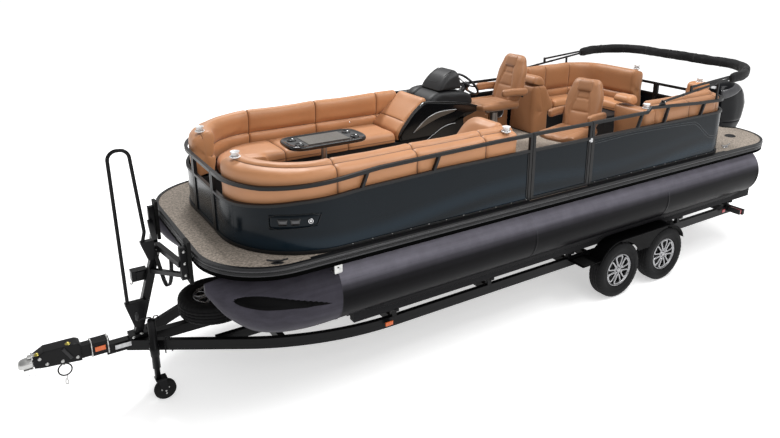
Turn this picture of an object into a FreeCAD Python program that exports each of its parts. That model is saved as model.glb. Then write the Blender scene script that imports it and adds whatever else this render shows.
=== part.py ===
import FreeCAD, Part
import math
import os

# Twin-tube pontoon boat with an outboard motor, standing on its tandem-axle trailer.
# Millimetres. +X points to the bow and the trailer coupler, +Y to port, +Z up.
# The origin is on the ground under the middle of the whole length.

V = FreeCAD.Vector
UP = V(0, 0, 1)
ALONG = V(1, 0, 0)
ACROSS = V(0, 1, 0)

# ---------------------------------------------------------------- overall sizes
HALF_LENGTH = 5100.0          # coupler nose to the back of the outboard is twice this
HALF_BEAM = 1295.0            # outside of the rub rail
GAP = 0.4                     # play left between touching curved pieces

# deck
DECK_TOP = 1547.0
DECK_THICK = 25.0
DECK_BOW = 3660.0
DECK_STERN = -4092.0
DECK_HALF = 1262.0
BOW_CORNER = 640.0            # radius of the deck's bow corners
STERN_CORNER = 600.0
WELL_HALF = 500.0             # motor well cut in the stern edge, widening aft
WELL_FRONT = -3975.0
WELL_FLARE = 160.0 / 130.0    # how fast the well's sides open towards the stern
TRIM_THICK = 33.0
TRIM_TOP = 1553.0
TRIM_BOTTOM = 1440.0
BEAM_BOTTOM = 1450.0          # underside of the deck's cross members
BEAM_PITCH = 406.0
POD_TOP = 1438.0              # motor pod under the stern
POD_AFT = -4280.0

# tubes
TUBE_Y = 930.0
TUBE_Z = 1098.0
TUBE_R = 335.0
TUBE_AFT = -3735.0
TUBE_DOME = 85.0              # bulge of the aft cap
BRACKET_AFT = -3640.0         # end of the tube brackets and of the deck's square part
BRACKET_FORE = 2440.0         # front end of the tube brackets
BRACKET_HALF = 160.0
TUBE_NOSE_START = 2450.0

# fence
FENCE_Y = 1245.0              # outer face
FENCE_FRONT = 3400.0
FENCE_STERN = -2920.0
FENCE_T = 32.0                # thickness of rails and posts
BOW_R = 825.0                 # bow corner radius of the outer face
STERN_R = 300.0
PANEL_T = 10.0
RAIL_H = 32.0
FENCE_FOOT = DECK_TOP + 6.0
BOW_POST_Y = 290.0
SIDE_POST_FRONT = 450.0
SIDE_POST_AFT = -404.0
STERN_GATE_HI = 690.0
STERN_GATE_LO = 90.0
GATE_CLEAR = 8.0
HINGE_R = 7.0                 # barrel of a gate hinge
HINGE_IN = 8.0                # its centre from the leaf's edge

# seats
SEAT_TOP = DECK_TOP + 440.0
SEAT_THICK = 130.0
SHOULDER = 2292.0             # outer edge of a backrest's top
BACK_TOP = 2345.0             # its crest
FENCE_CLEAR = 12.0
BACK_DEPTH = 235.0            # how far the backrests stand in from the fence
SHOULDER_DEPTH = 95.0
PORT_AFT = 590.0              # rear of the port lounge ahead of the side gate
CHAISE_AFT = 560.0            # rear of the sloping backrest in front of the helm
CHAISE_FOOT = 1025.0          # where its slope meets the seat
STAR_END = -1345.0            # forward ends of the aft lounges
PORT_END = -1320.0
END_FOOT = 400.0              # slope of the starboard end at the seat
END_THICK = 200.0
STAR_CREST = 2435.0
WIDE_R = 600.0                # stern corner of the starboard crest
STAR_LIMIT = 90.0             # where the starboard backrest stops short of the middle

# trailer
FRAME_BOTTOM = 466.0
FRAME_H = 104.0
FRAME_W = 50.0
FRAME_Y = 975.0               # centre of the main beams
FRAME_AFT = -3657.0
BEND_R = 2600.0
BEND_TURN = math.radians(31.8)
BEND_CORNER_X = 2665.0
TONGUE_HALF = 40.0
TONGUE_FRONT = 4700.0
SPINE_TOP = 576.0
INNER_Y = 392.0               # inner pair of long beams
INNER_FRONT = 3515.0
BALL_X = 5042.0               # socket for a 50 mm tow ball
BALL_R = 25.5
BALL_TOP = 611.0
WHEEL_R = 349.0
WHEEL_W = 194.0
WHEEL_Y = 1154.0
AXLE_X = (-1083.0, -1914.0)


# ---------------------------------------------------------------- helpers
def save(name, shape):
    shape.exportStep("parts/" + name + ".step")


def mirrored(shape):
    return shape.mirror(V(0, 0, 0), ACROSS)


def box(x0, x1, y0, y1, z0, z1):
    return Part.makeBox(x1 - x0, y1 - y0, z1 - z0, V(x0, y0, z0))


def rod(start, end, radius):
    """Round bar between two points."""
    start = V(*start)
    end = V(*end)
    return Part.makeCylinder(radius, (end - start).Length, start, end - start)


def prism(points, axis, low, high):
    """Polygon drawn in the plane square to the axis, pushed from low to high along it.

    The points are (x, y) for axis z, (x, z) for axis y and (y, z) for axis x."""
    place = {
        "z": lambda a, b: V(a, b, low),
        "y": lambda a, b: V(a, low, b),
        "x": lambda a, b: V(low, a, b),
    }[axis]
    push = {"z": UP, "y": ACROSS, "x": ALONG}[axis]
    corners = [place(a, b) for a, b in points]
    face = Part.Face(Part.makePolygon(corners + corners[:1]))
    return face.extrude(push * (high - low))


def bar(start, end, wide, tall, side=ACROSS):
    """Rectangular bar between two points; wide lies along side, tall square to it."""
    start = V(*start)
    end = V(*end)
    run = end - start
    side = V(side).normalize() * (wide / 2)
    lift = run.cross(side).normalize() * (tall / 2)
    ring = [start + side + lift, start - side + lift, start - side - lift, start + side - lift]
    return Part.Face(Part.makePolygon(ring + ring[:1])).extrude(run)


def sector(cx, cy, r_out, r_in, deg0, deg1, z0, z1):
    """Part of a flat ring, or of a disc where r_in is 0, standing from z0 to z1."""
    span = deg1 - deg0
    outer = Part.makeCylinder(r_out, z1 - z0, V(cx, cy, z0), UP, span)
    outer.rotate(V(cx, cy, z0), UP, deg0)
    if r_in <= 0:
        return outer
    inner = Part.makeCylinder(r_in, z1 - z0, V(cx, cy, z0))
    return outer.cut(inner)


def joined(shapes):
    first = shapes[0]
    return first.multiFuse(shapes[1:]).removeSplitter() if len(shapes) > 1 else first


def group(shapes):
    """Like solids on one body that do not touch."""
    solids = []
    for shape in shapes:
        solids += shape.Solids
    return Part.makeCompound(solids)


def bent_tube(points, radius, bend):
    """Round tube along straight runs with an arc of radius bend at each inner point."""
    pts = [V(*p) for p in points]
    edges = []
    start = pts[0]
    for before, corner, after in zip(pts, pts[1:], pts[2:]):
        back = (before - corner).normalize()
        ahead = (after - corner).normalize()
        half = back.getAngle(ahead) / 2
        cut = bend / math.tan(half)
        first = corner + back * cut
        last = corner + ahead * cut
        middle_dir = (back + ahead).normalize()
        middle = corner + middle_dir * (bend / math.sin(half) - bend)
        edges.append(Part.LineSegment(start, first).toShape())
        edges.append(Part.Arc(first, middle, last).toShape())
        start = last
    edges.append(Part.LineSegment(start, pts[-1]).toShape())
    path = Part.Wire(edges)
    ring = Part.Wire(Part.makeCircle(radius, pts[0], pts[1] - pts[0]))
    return path.makePipeShell([ring], True, True)


def bow_strip(out, inn, x_aft, y_front, z0, z1):
    """Port band between two depths inside the fence's outer face, round the bow corner."""
    cx = FENCE_FRONT - BOW_R
    cy = FENCE_Y - BOW_R
    side = box(x_aft, cx, FENCE_Y - inn, FENCE_Y - out, z0, z1)
    corner = sector(cx, cy, BOW_R - out, BOW_R - inn, 0, 90, z0, z1)
    front = box(FENCE_FRONT - inn, FENCE_FRONT - out, y_front, cy, z0, z1)
    return joined([side, corner, front])


def stern_strip(out, inn, x_front, y_end, z0, z1, x_edge=FENCE_STERN, radius=STERN_R):
    """Port band inside the fence's outer face, round the stern corner."""
    cx = x_edge + radius
    cy = FENCE_Y - radius
    side = box(cx, x_front, FENCE_Y - inn, FENCE_Y - out, z0, z1)
    corner = sector(cx, cy, radius - out, max(radius - inn, 0), 90, 180, z0, z1)
    stern = box(x_edge + out, x_edge + inn, y_end, cy, z0, z1)
    return joined([side, corner, stern])


def side_profile(heights, drop_top, drop_bottom):
    """Band seen from the side: from drop_bottom to drop_top below a line of (x, z) points."""
    upper = [(x, z - drop_top) for x, z in heights]
    lower = [(x, z - drop_bottom) for x, z in reversed(heights)]
    return prism(upper + lower, "y", -FENCE_Y - 100, FENCE_Y + 100)


# ---------------------------------------------------------------- tubes and deck
def pontoon():
    """One sealed tube with a raked nose whose sides meet on a sharp stem."""
    barrel = rod((TUBE_AFT, TUBE_Y, TUBE_Z), (TUBE_NOSE_START, TUBE_Y, TUBE_Z), TUBE_R)
    # x, half width, top, bottom
    sections = (
        (TUBE_NOSE_START, TUBE_R, TUBE_Z + TUBE_R, TUBE_Z - TUBE_R),
        (2950.0, 322.0, 1432.0, 760.0),
        (3300.0, 245.0, 1428.0, 828.0),
        (3540.0, 135.0, 1418.0, 1030.0),
        (3715.0, 18.0, 1396.0, 1300.0),
    )
    wires = []
    for x, half, top, bottom in sections:
        middle = (top + bottom) / 2
        high = V(x, TUBE_Y, top)
        low = V(x, TUBE_Y, bottom)
        port = Part.Arc(high, V(x, TUBE_Y + half, middle), low).toShape()
        starboard = Part.Arc(low, V(x, TUBE_Y - half, middle), high).toShape()
        wires.append(Part.Wire([port, starboard]))
    nose = Part.makeLoft(wires, True, False)
    # the cap is a shallow slice of a ball whose rim meets the tube's edge
    ball_r = (TUBE_R ** 2 + TUBE_DOME ** 2) / (2 * TUBE_DOME)
    ball = Part.makeSphere(ball_r, V(TUBE_AFT - TUBE_DOME + ball_r, TUBE_Y, TUBE_Z))
    cap = ball.common(box(TUBE_AFT - TUBE_DOME - 1, TUBE_AFT, TUBE_Y - TUBE_R, TUBE_Y + TUBE_R, 700, 1500))
    keel_low = TUBE_Z - TUBE_R - 20
    keel = box(TUBE_AFT + 60, TUBE_NOSE_START + 350, TUBE_Y - 12, TUBE_Y + 12, keel_low, keel_low + 155)
    return joined([barrel, nose, cap, keel])


def deck_outline(grow, z0, z1):
    """Deck plan with round corners, grown outwards by grow."""
    half = DECK_HALF + grow
    bow = DECK_BOW + grow
    stern = DECK_STERN - grow
    front_r = BOW_CORNER + grow
    back_r = STERN_CORNER + grow
    plates = [box(stern + back_r, bow - front_r, -half, half, z0, z1)]
    plates.append(box(bow - front_r, bow, -half + front_r, half - front_r, z0, z1))
    plates.append(box(stern, stern + back_r, -half + back_r, half - back_r, z0, z1))
    for sign in (1, -1):
        deg = 0 if sign > 0 else -90
        plates.append(sector(bow - front_r, sign * (half - front_r), front_r, 0, deg, deg + 90, z0, z1))
        deg = 90 if sign > 0 else 180
        plates.append(sector(stern + back_r, sign * (half - back_r), back_r, 0, deg, deg + 90, z0, z1))
    return joined(plates)


def well(shrink):
    """Motor well with its sides drawn in by shrink."""
    front = WELL_FRONT - shrink
    half = WELL_HALF - shrink
    back = DECK_STERN - 100
    wide = half + (front - back) * WELL_FLARE
    return prism(
        [(back, wide), (front, half), (front, -half), (back, -wide)], "z", TRIM_BOTTOM - 100, TRIM_TOP + 100
    )


def make_hull():
    tube = pontoon()
    save("pontoon_port", tube)
    save("pontoon_starboard", mirrored(tube))

    save("deck_panel", deck_outline(0, DECK_TOP - DECK_THICK, DECK_TOP).cut(well(0)))
    trim = deck_outline(TRIM_THICK, TRIM_BOTTOM, TRIM_TOP).cut(well(TRIM_THICK))
    save("deck_trim", trim.cut(deck_outline(GAP, TRIM_BOTTOM - 1, TRIM_TOP + 1).cut(well(GAP))))

    beam_half = 1235.0
    flange = 60.0
    beams = []
    count = int((3250.0 - WELL_FRONT) / BEAM_PITCH)
    for n in range(count + 1):
        x = WELL_FRONT + 80 + n * BEAM_PITCH
        half = beam_half
        if n == 0:
            # the last beam stops short of the deck's round corners
            half = DECK_HALF - STERN_CORNER + 220
        web = box(x, x + 6, -half, half, BEAM_BOTTOM, DECK_TOP - DECK_THICK)
        top = box(x, x + flange, -half, half, DECK_TOP - DECK_THICK - 6, DECK_TOP - DECK_THICK)
        foot = box(x, x + flange, -half, half, BEAM_BOTTOM, BEAM_BOTTOM + 6)
        beams.append(joined([web, top, foot]))
    save("deck_crossmembers", group(beams))

    # inverted channels between the tubes and the cross members
    brackets = []
    front = BRACKET_FORE
    half = BRACKET_HALF
    for sign in (1, -1):
        y = sign * TUBE_Y
        saddle = box(BRACKET_AFT, front, y - half, y + half, 1290, BEAM_BOTTOM)
        inner = box(BRACKET_AFT - 1, front + 1, y - half + 12, y + half - 12, 1280, BEAM_BOTTOM - 8)
        around = rod((TUBE_AFT - 10, y, TUBE_Z), (front + 50, y, TUBE_Z), TUBE_R + GAP)
        brackets.append(saddle.cut(inner).cut(around))
    save("pontoon_brackets", group(brackets))

    pod = prism([(POD_AFT, POD_TOP), (-3000, POD_TOP), (-3250, 1150), (POD_AFT + 60, 1000)], "y", -300, 300)
    save("motor_pod", pod)


# ---------------------------------------------------------------- fence and gates
# x and height of the top rail's upper edge
RAIL_LINE = (
    (FENCE_FRONT + 50, 2143.0), (3200.0, 2145.0), (2220.0, 2235.0), (880.0, 2266.0),
    (-1290.0, 2274.0), (-1345.0, 2322.0), (-1850.0, 2293.0), (-2240.0, 2269.0), (FENCE_STERN - 50, 2250.0),
)
# x and height of the panels' upper edge
PANEL_LINE = (
    (FENCE_FRONT + 50, 1961.0), (3330.0, 1965.0), (2940.0, 2029.0), (2410.0, 2072.0),
    (1500.0, 2100.0), (FENCE_STERN - 50, 2102.0),
)
PANEL_RAIL = 26.0
STRUT_RAKE = 66.0
STRUT_W = 26.0
FRONT_STRUTS = (2378.0, 1631.0)
STERN_STRUTS = (-1158.0, -1617.0, -2300.0)


def line_height(line, x):
    for (x1, z1), (x0, z0) in zip(line, line[1:]):
        if x0 <= x <= x1:
            return z0 + (z1 - z0) * (x - x0) / (x1 - x0)
    return line[-1][1]


def frame_of(wall, post_xs, strut_xs):
    """Rails cut from an upright band, with raked struts where strut_xs says."""
    pieces = [
        wall.common(side_profile(RAIL_LINE, 0, RAIL_H)),
        wall.common(side_profile(PANEL_LINE, 0, PANEL_RAIL)),
        wall.common(box(FENCE_STERN - 50, FENCE_FRONT + 50, -1400, 1400, FENCE_FOOT, FENCE_FOOT + 30)),
    ]
    for x in strut_xs:
        low = line_height(PANEL_LINE, x) - 5
        high = line_height(RAIL_LINE, x - STRUT_RAKE) - 5
        foot = [(x, low), (x + STRUT_W, low)]
        head = [(x + STRUT_W - STRUT_RAKE, high), (x - STRUT_RAKE, high)]
        strut = prism(foot + head, "y", -1400, 1400)
        pieces.append(wall.common(strut))
    for x0, x1 in post_xs:
        post = side_profile(RAIL_LINE, 0, 800).common(box(x0, x1, -1400, 1400, FENCE_FOOT, 2400))
        pieces.append(wall.common(post))
    return pieces


def make_fence():
    z0 = FENCE_FOOT
    z1 = 2400.0
    inner = FENCE_T
    lead = bow_strip(0, inner, SIDE_POST_FRONT, BOW_POST_Y, z0, z1)
    follow = stern_strip(0, inner, SIDE_POST_AFT, STERN_GATE_HI, z0, z1)
    bow_post = box(FENCE_FRONT - inner, FENCE_FRONT, BOW_POST_Y, BOW_POST_Y + inner, z0, 2143.0)
    stern_post = box(FENCE_STERN, FENCE_STERN + inner, STERN_GATE_HI, STERN_GATE_HI + inner, z0, 2252.0)
    port_front = joined(
        frame_of(lead, [(SIDE_POST_FRONT, SIDE_POST_FRONT + inner)], FRONT_STRUTS) + [bow_post]
    )
    port_back = joined(
        frame_of(follow, [(SIDE_POST_AFT - inner, SIDE_POST_AFT)], STERN_STRUTS) + [stern_post]
    )
    long_band = joined([
        bow_strip(0, inner, -1000.0, BOW_POST_Y, z0, z1),
        stern_strip(0, inner, -1000.0, -STERN_GATE_LO, z0, z1),
    ])
    stern_post_low = box(FENCE_STERN, FENCE_STERN + inner, -STERN_GATE_LO, -STERN_GATE_LO + inner, z0, 2252.0)
    starboard = joined(
        frame_of(long_band, [(0.0, inner)], FRONT_STRUTS + (850.0,) + STERN_STRUTS)
        + [bow_post, stern_post_low]
    )
    save("fence_frames", group([port_front, port_back, mirrored(starboard)]))

    skin_out = (inner - PANEL_T) / 2
    skin_in = skin_out + PANEL_T
    band = side_profile(PANEL_LINE, PANEL_RAIL, 700).common(
        box(FENCE_STERN - 50, FENCE_FRONT + 50, -1400, 1400, FENCE_FOOT + 30, 2200)
    )
    skin = (skin_out, skin_in)
    port_front_skin = bow_strip(*skin, SIDE_POST_FRONT + inner, BOW_POST_Y + inner, z0, z1).common(band)
    port_back_skin = stern_strip(*skin, SIDE_POST_AFT - inner, STERN_GATE_HI + inner, z0, z1).common(band)
    starboard_skin = joined([
        bow_strip(*skin, -1000.0, BOW_POST_Y + inner, z0, z1),
        stern_strip(*skin, -1000.0, -STERN_GATE_LO + inner, z0, z1),
    ]).common(band).cut(box(0, inner, 0, 1400, z0, z1))
    save("fence_panels", group([port_front_skin, port_back_skin, mirrored(starboard_skin)]))


def gate(length, height, rail_at):
    """Gate leaf drawn along +X from its hinge edge, its outer face at y = 0, standing on z = 0.

    A round hinge barrel runs down the inner corner of the hinge edge, and the leaf turns about it."""
    t = FENCE_T
    outer = box(0, length, -t, 0, 0, height)
    window = box(t, length - t, -t - 1, 1, rail_at, height - RAIL_H)
    low = box(t, length - t, -t - 1, 1, t, rail_at - PANEL_RAIL)
    skin = box(t, length - t, -t / 2 - PANEL_T / 2, -t / 2 + PANEL_T / 2, t, rail_at - PANEL_RAIL)
    barrel = rod((HINGE_IN, -t, 30), (HINGE_IN, -t, height - 30), HINGE_R)
    return joined([outer.cut(window).cut(low), skin, barrel])


def make_gates():
    foot = FENCE_FOOT + 8
    bow = gate(2 * (BOW_POST_Y - GATE_CLEAR), 2143.0 - foot, 1961.0 - foot)
    bow = bow.mirror(V(0, 0, 0), ACROSS)
    bow.rotate(V(0, 0, 0), UP, 90)
    bow.translate(V(FENCE_FRONT, -BOW_POST_Y + GATE_CLEAR, foot))
    save("bow_gate", bow)

    # hinged at its front edge
    length = SIDE_POST_FRONT - SIDE_POST_AFT - 2 * GATE_CLEAR
    side = gate(length, 2270.0 - foot, 2100.0 - foot)
    side = side.mirror(V(length / 2, 0, 0), ALONG)
    side.translate(V(SIDE_POST_AFT + GATE_CLEAR, FENCE_Y, foot))
    save("side_gate", side)

    stern = gate(STERN_GATE_HI - STERN_GATE_LO - 2 * GATE_CLEAR, 2250.0 - foot, 2100.0 - foot)
    stern.rotate(V(0, 0, 0), UP, 90)
    stern.translate(V(FENCE_STERN, STERN_GATE_LO + GATE_CLEAR, foot))
    save("stern_gate", stern)


# ---------------------------------------------------------------- seats, table, helm
def bow_seat_region(out, x_aft, y_in, y_front, z0, z1):
    cx = FENCE_FRONT - BOW_R
    cy = FENCE_Y - BOW_R
    side = box(x_aft, cx, y_in, FENCE_Y - out, z0, z1)
    corner = sector(cx, cy, BOW_R - out, 0, 0, 90, z0, z1)
    front = box(cx, FENCE_FRONT - out, y_front, cy, z0, z1)
    return joined([side, corner, front])


def backrest(strip, x_end, y_end, crest, shoulder=SHOULDER, **corner):
    """Port backrest along the fence: an outer shoulder and a taller inner crest."""
    clear = FENCE_T + FENCE_CLEAR
    low = SEAT_TOP - SEAT_THICK + GAP
    outer = strip(clear, clear + BACK_DEPTH, x_end, y_end, low, shoulder)
    inner = strip(clear + SHOULDER_DEPTH, clear + BACK_DEPTH, x_end, y_end, low, crest, **corner)
    return joined([outer, inner])


def make_seats():
    clear = FENCE_T + FENCE_CLEAR
    base_top = SEAT_TOP - SEAT_THICK
    base_low = DECK_TOP + GAP
    skirt = clear + 20
    port_fore = bow_seat_region(skirt, PORT_AFT + 10, 420.0, 400.0, base_low, base_top)
    star_fore = bow_seat_region(skirt, CHAISE_AFT, 432.0, 400.0, base_low, base_top)
    star_aft = joined([
        stern_strip(skirt, FENCE_Y - 730, STAR_END - 70, STAR_LIMIT + 60, base_low, base_top),
        box(-2400.0, -2000.0, 0.0, 945.0, base_low, base_top),
    ])
    port_aft = stern_strip(skirt, FENCE_Y - 750, PORT_END - 70, 720.0, base_low, base_top)
    save("lounge_bases", group([port_fore, mirrored(star_fore), mirrored(star_aft), port_aft]))

    low = base_top + GAP
    top = SEAT_TOP
    front = clear + BACK_DEPTH + 5
    port_seat = bow_seat_region(front, CHAISE_FOOT + 5, 400.0, 390.0, low, top)
    save("lounge_seat_port_forward", port_seat)
    save("lounge_seat_starboard_forward", mirrored(port_seat))
    star_seat = joined([
        stern_strip(front, FENCE_Y - 670, STAR_END - END_FOOT - 5, STAR_LIMIT + 40, low, top),
        box(-2400.0, -2000.0, -20.0, 900.0, low, top),
    ])
    behind = stern_strip(clear, front, STAR_END, STAR_LIMIT, low - 1, top + 1, radius=WIDE_R)
    save("lounge_seat_starboard_aft", mirrored(star_seat.cut(behind)))
    save("lounge_seat_port_aft", stern_strip(front, FENCE_Y - 700, PORT_END - END_THICK - 5, 700.0, low, top))

    # sloping backrests across the aft ends of the forward lounges
    chaise = prism(
        [(CHAISE_AFT, low), (CHAISE_FOOT - 15, low), (CHAISE_FOOT, SEAT_TOP), (625.0, BACK_TOP),
         (CHAISE_AFT, BACK_TOP)], "y", 432.0, 1195.0
    )
    hump = prism(
        [(PORT_AFT, low), (CHAISE_FOOT - 15, low), (CHAISE_FOOT, SEAT_TOP), (760.0, 2330.0), (700.0, 2372.0),
         (640.0, 2360.0), (PORT_AFT, 2280.0)], "y", 400.0, 1195.0
    )
    hump = hump.cut(prism([(390, 2140), (640, 2400), (390, 2400)], "x", 500, 1100))
    save("lounge_back_port_forward", joined([backrest(bow_strip, PORT_AFT, 385.0, BACK_TOP), hump]))
    save("lounge_back_starboard_forward", mirrored(joined([
        backrest(bow_strip, CHAISE_AFT + 100, 385.0, BACK_TOP), chaise])))

    # upright ends of the aft lounges, with a roll along the top
    star_end = prism(
        [(STAR_END, low), (STAR_END, 2235.0), (STAR_END - 30, 2330.0), (STAR_END - 95, 2352.0),
         (STAR_END - 180, 2300.0), (STAR_END - 235, 2190.0), (STAR_END - END_FOOT, SEAT_TOP),
         (STAR_END - END_FOOT, low)], "y", 675.0, 1195.0
    )
    star_back = backrest(stern_strip, STAR_END, STAR_LIMIT, STAR_CREST, 2390.0, radius=WIDE_R)
    save("lounge_back_starboard_aft", mirrored(joined([star_back, star_end])))
    arm = box(PORT_END - END_THICK, PORT_END, 700.0, 1195.0, low, 2275.0)
    roll = box(PORT_END - END_THICK, PORT_END, 665.0, 935.0, 2225.0, 2385.0)
    rest = box(FENCE_STERN + clear, FENCE_STERN + clear + BACK_DEPTH, 720.0, 960.0, 2200.0, 2400.0)
    port_back = backrest(stern_strip, PORT_END, 720.0, BACK_TOP)
    save("lounge_back_port_aft", joined([port_back, arm, roll, rest]))


def make_table():
    top_z = DECK_TOP + 640.0
    half = 225.0
    flat = 205.0
    cx = 2150.0
    plate = joined([
        box(cx - flat, cx + flat, -half, half, top_z - 45, top_z),
        sector(cx + flat, 0, half, 0, -90, 90, top_z - 45, top_z),
        sector(cx - flat, 0, half, 0, 90, 270, top_z - 45, top_z),
    ])
    save("table_top", plate)
    foot = rod((cx, 0, DECK_TOP + GAP), (cx, 0, DECK_TOP + 22), 130)
    leg = rod((cx, 0, DECK_TOP + 20), (cx, 0, top_z - 50), 30)
    head = rod((cx, 0, top_z - 65), (cx, 0, top_z - 45 - GAP), 90)
    save("table_leg", joined([foot, leg, head]))


CONSOLE_IN = -400.0           # port side of the console
CONSOLE_OUT = -1195.0
FIN_THICK = 30.0              # side plate that runs on beside the chaise
WHEEL_AT = (-165.0, -650.0, 2385.0)
WHEEL_TILT = math.radians(40)
STEER_R = 172.0
HOOD_FOOT = 2378.0


def make_console():
    low = DECK_TOP + GAP
    back = CHAISE_AFT - 5
    lip = [(619, 2303), (342, 2268), (54, 2226), (-149, 2157), (-145, 2094), (51, 2087)]
    side = CONSOLE_IN - FIN_THICK
    body = prism([(51, low), (back, low), (back, 2292)] + lip[1:], "y", CONSOLE_OUT, side)
    nose = [(back, 1870), (985, 1870), (995, 1925), (909, 2059), (802, 2181)]
    fin = prism([(51, low), (back, low)] + nose + lip, "y", side, CONSOLE_IN)
    dash = prism([
        (-118, 2170), (-112, 2270), (-77, 2308), (8, 2342), (140, 2371), (340, HOOD_FOOT), (470, 2362),
        (back - 2, 2292), (342, 2230), (54, 2190),
    ], "y", -1050, side)
    bulge = rod((474, -930, 2340), (474, -790, 2340), 83)
    hub = V(*WHEEL_AT)
    axis = V(-math.cos(WHEEL_TILT), 0, math.sin(WHEEL_TILT))
    column = rod(hub - axis * 41, hub - axis * 300, 28)
    save("console", joined([body, fin, dash, bulge, column]))
    hood = [
        (58, HOOD_FOOT + 1), (110, 2605), (208, 2582), (274, 2552), (347, 2470), (388, 2413),
        (382, HOOD_FOOT + 1),
    ]
    save("instrument_hood", prism(hood, "y", -860, -460))

    ring = Part.makeTorus(STEER_R, 14, hub, axis)
    boss = Part.makeCylinder(42, 58, hub - axis * 40, axis)
    spokes = []
    for n in range(3):
        spoke = bar((0, 0, 0), (0, STEER_R, 0), 26, 10, ALONG)
        spoke.rotate(V(0, 0, 0), UP, 120 * n)
        turn = FreeCAD.Rotation(UP, axis)
        spoke.Placement = FreeCAD.Placement(hub - axis * 2, turn).multiply(spoke.Placement)
        spokes.append(spoke)
    save("steering_wheel", joined([ring, boss] + spokes))


HELM_AT = (-620.0, -650.0)
GUEST_AT = (-940.0, 430.0)
GUEST_TURN = 15.0             # the passenger chair is parked turned to port
PIVOT_DROP = 183.0            # from the top of a seat to its swivel
SEAT_REACH = 440.0            # from the swivel to the front of the seat
ARM_Y = 262.0                 # centre of an armrest from the chair's middle
ARM_HALF = 38.0
ARM_FRONT = 60.0              # centre of the armrest's round end ahead of the swivel
ARM_TALL = 110.0
# node, place, turn, top of the seat, top of the headrest, underside of the armrests above the seat
CHAIRS = (
    ("helm_chair", HELM_AT, 0.0, 2160.0, 2700.0, 50.0),
    ("passenger_chair", GUEST_AT, GUEST_TURN, 1970.0, 2510.0, 75.0),
)


def chair(cx, cy, seat_top, head_top, arm_lift):
    """Swivel chair: seat, raked back with headrest and two armrests as one soft block."""
    # offset ahead of the swivel, height above the seat
    seat_side = ((420, -60), (360, 0), (-230, -20), (-260, -150), (360, -150), (420, -110))
    seat = prism([(cx + x, seat_top + z) for x, z in seat_side], "y", cy - 245, cy + 245)
    seat = seat.common(rod((cx, cy, seat_top - 200), (cx, cy, seat_top + 50), SEAT_REACH))
    head = head_top - seat_top
    back_side = (
        (-70, -20), (-270, head - 20), (-310, head), (-385, head - 30), (-400, head - 90), (-372, 190),
        (-290, -150), (-120, -150),
    )
    back = prism([(cx + x, seat_top + z) for x, z in back_side], "y", cy - 240, cy + 240)
    # the back narrows towards the headrest
    taper = [(-240, -200), (240, -200), (240, 260), (185, head + 10), (-185, head + 10), (-240, 260)]
    back = back.common(prism([(cy + y, seat_top + z) for y, z in taper], "x", cx - 500, cx + 100))
    arm_low = seat_top + arm_lift
    arm_top = arm_low + ARM_TALL
    parts = [seat, back]
    for sign in (1, -1):
        y = cy + sign * ARM_Y
        parts.append(box(cx - 330, cx + ARM_FRONT, y - ARM_HALF, y + ARM_HALF, arm_low, arm_top))
        parts.append(rod((cx + ARM_FRONT, y, arm_low), (cx + ARM_FRONT, y, arm_top), ARM_HALF))
    return joined(parts)


def make_chairs():
    pedestals = []
    for name, (x, y), turn, seat_top, head_top, arm_lift in CHAIRS:
        pivot = seat_top - PIVOT_DROP
        foot = rod((x, y, DECK_TOP + GAP), (x, y, DECK_TOP + 14), 170)
        post = rod((x, y, DECK_TOP + 10), (x, y, pivot), 55)
        pedestals.append(joined([foot, post]))
        cup = rod((x, y, pivot + GAP), (x, y, seat_top - 149), 90)
        piece = joined([chair(x, y, seat_top, head_top, arm_lift), cup])
        piece.rotate(V(x, y, 0), UP, turn)
        save(name, piece)
    save("chair_pedestals", group(pedestals))


# ---------------------------------------------------------------- bimini
BIMINI_PIVOT = (-1555.0, 1229.0, 2355.0)
BIMINI_BEND = (-2774.0, 1229.0, 2493.0)
BOOT_HALF = 46.0              # half the width of the rolled awning
BOOT_AFT = -3540.0            # middle of its crossbar
BOOT_RISE = 3.5               # degrees it climbs towards the stern
BOOT_BEND = 600.0
CRADLE_X = {1: -2590.0, -1: -2495.0}     # port and starboard


def make_bimini():
    px, py, pz = BIMINI_PIVOT
    bx, by, bz = BIMINI_BEND
    slope = (bz - pz) / (px - bx)
    mounts = []
    for sign in (1, -1):
        low = min(sign * (py - 16), sign * (py - 6))
        feet = [(x, line_height(RAIL_LINE, x) + GAP) for x in (px + 60, px - 60)]
        mounts.append(prism(feet + [(px - 18, pz + 12), (px + 18, pz + 12)], "y", low, low + 10))
        cradle = CRADLE_X[sign]
        rail = line_height(RAIL_LINE, cradle + 25) + 1
        arm = pz + (px - cradle) * slope - 11
        mounts.append(box(cradle, cradle + 25, sign * py - 10, sign * py + 10, rail, arm - 6))
    save("bimini_supports", group(mounts))

    arms = []
    for sign in (1, -1):
        y = sign * (py + 6)
        arms.append(joined([
            bar((px, y, pz), (bx, y, bz), 20, 22),
            rod((px, y - 10, pz), (px, y + 10, pz), 16),
            bar((px - 500, y, pz + 500 * slope + 60), (bx, y, bz + 30), 20, 22),
            box(px - 500, px - 470, y - 10, y + 10, pz + 470 * slope - 5, pz + 500 * slope + 75),
        ]))
    save("bimini_frame", group(arms))

    z0 = bz - 56
    z1 = bz + 80
    mid = HALF_BEAM - BOOT_HALF
    cx = BOOT_AFT + BOOT_BEND
    cy = mid - BOOT_BEND
    pieces = [box(BOOT_AFT - BOOT_HALF, BOOT_AFT + BOOT_HALF, -cy, cy, z0, z1)]
    for sign, deg in ((1, 90), (-1, 180)):
        y = sign * mid
        pieces.append(box(cx, bx - 10, y - BOOT_HALF, y + BOOT_HALF, z0, z1))
        outer = BOOT_BEND + BOOT_HALF
        pieces.append(sector(cx, sign * cy, outer, outer - 2 * BOOT_HALF, deg, deg + 90, z0, z1))
    boot = joined(pieces)
    boot.rotate(V(bx, 0, z0), ACROSS, BOOT_RISE)
    save("bimini_boot", boot)


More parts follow.
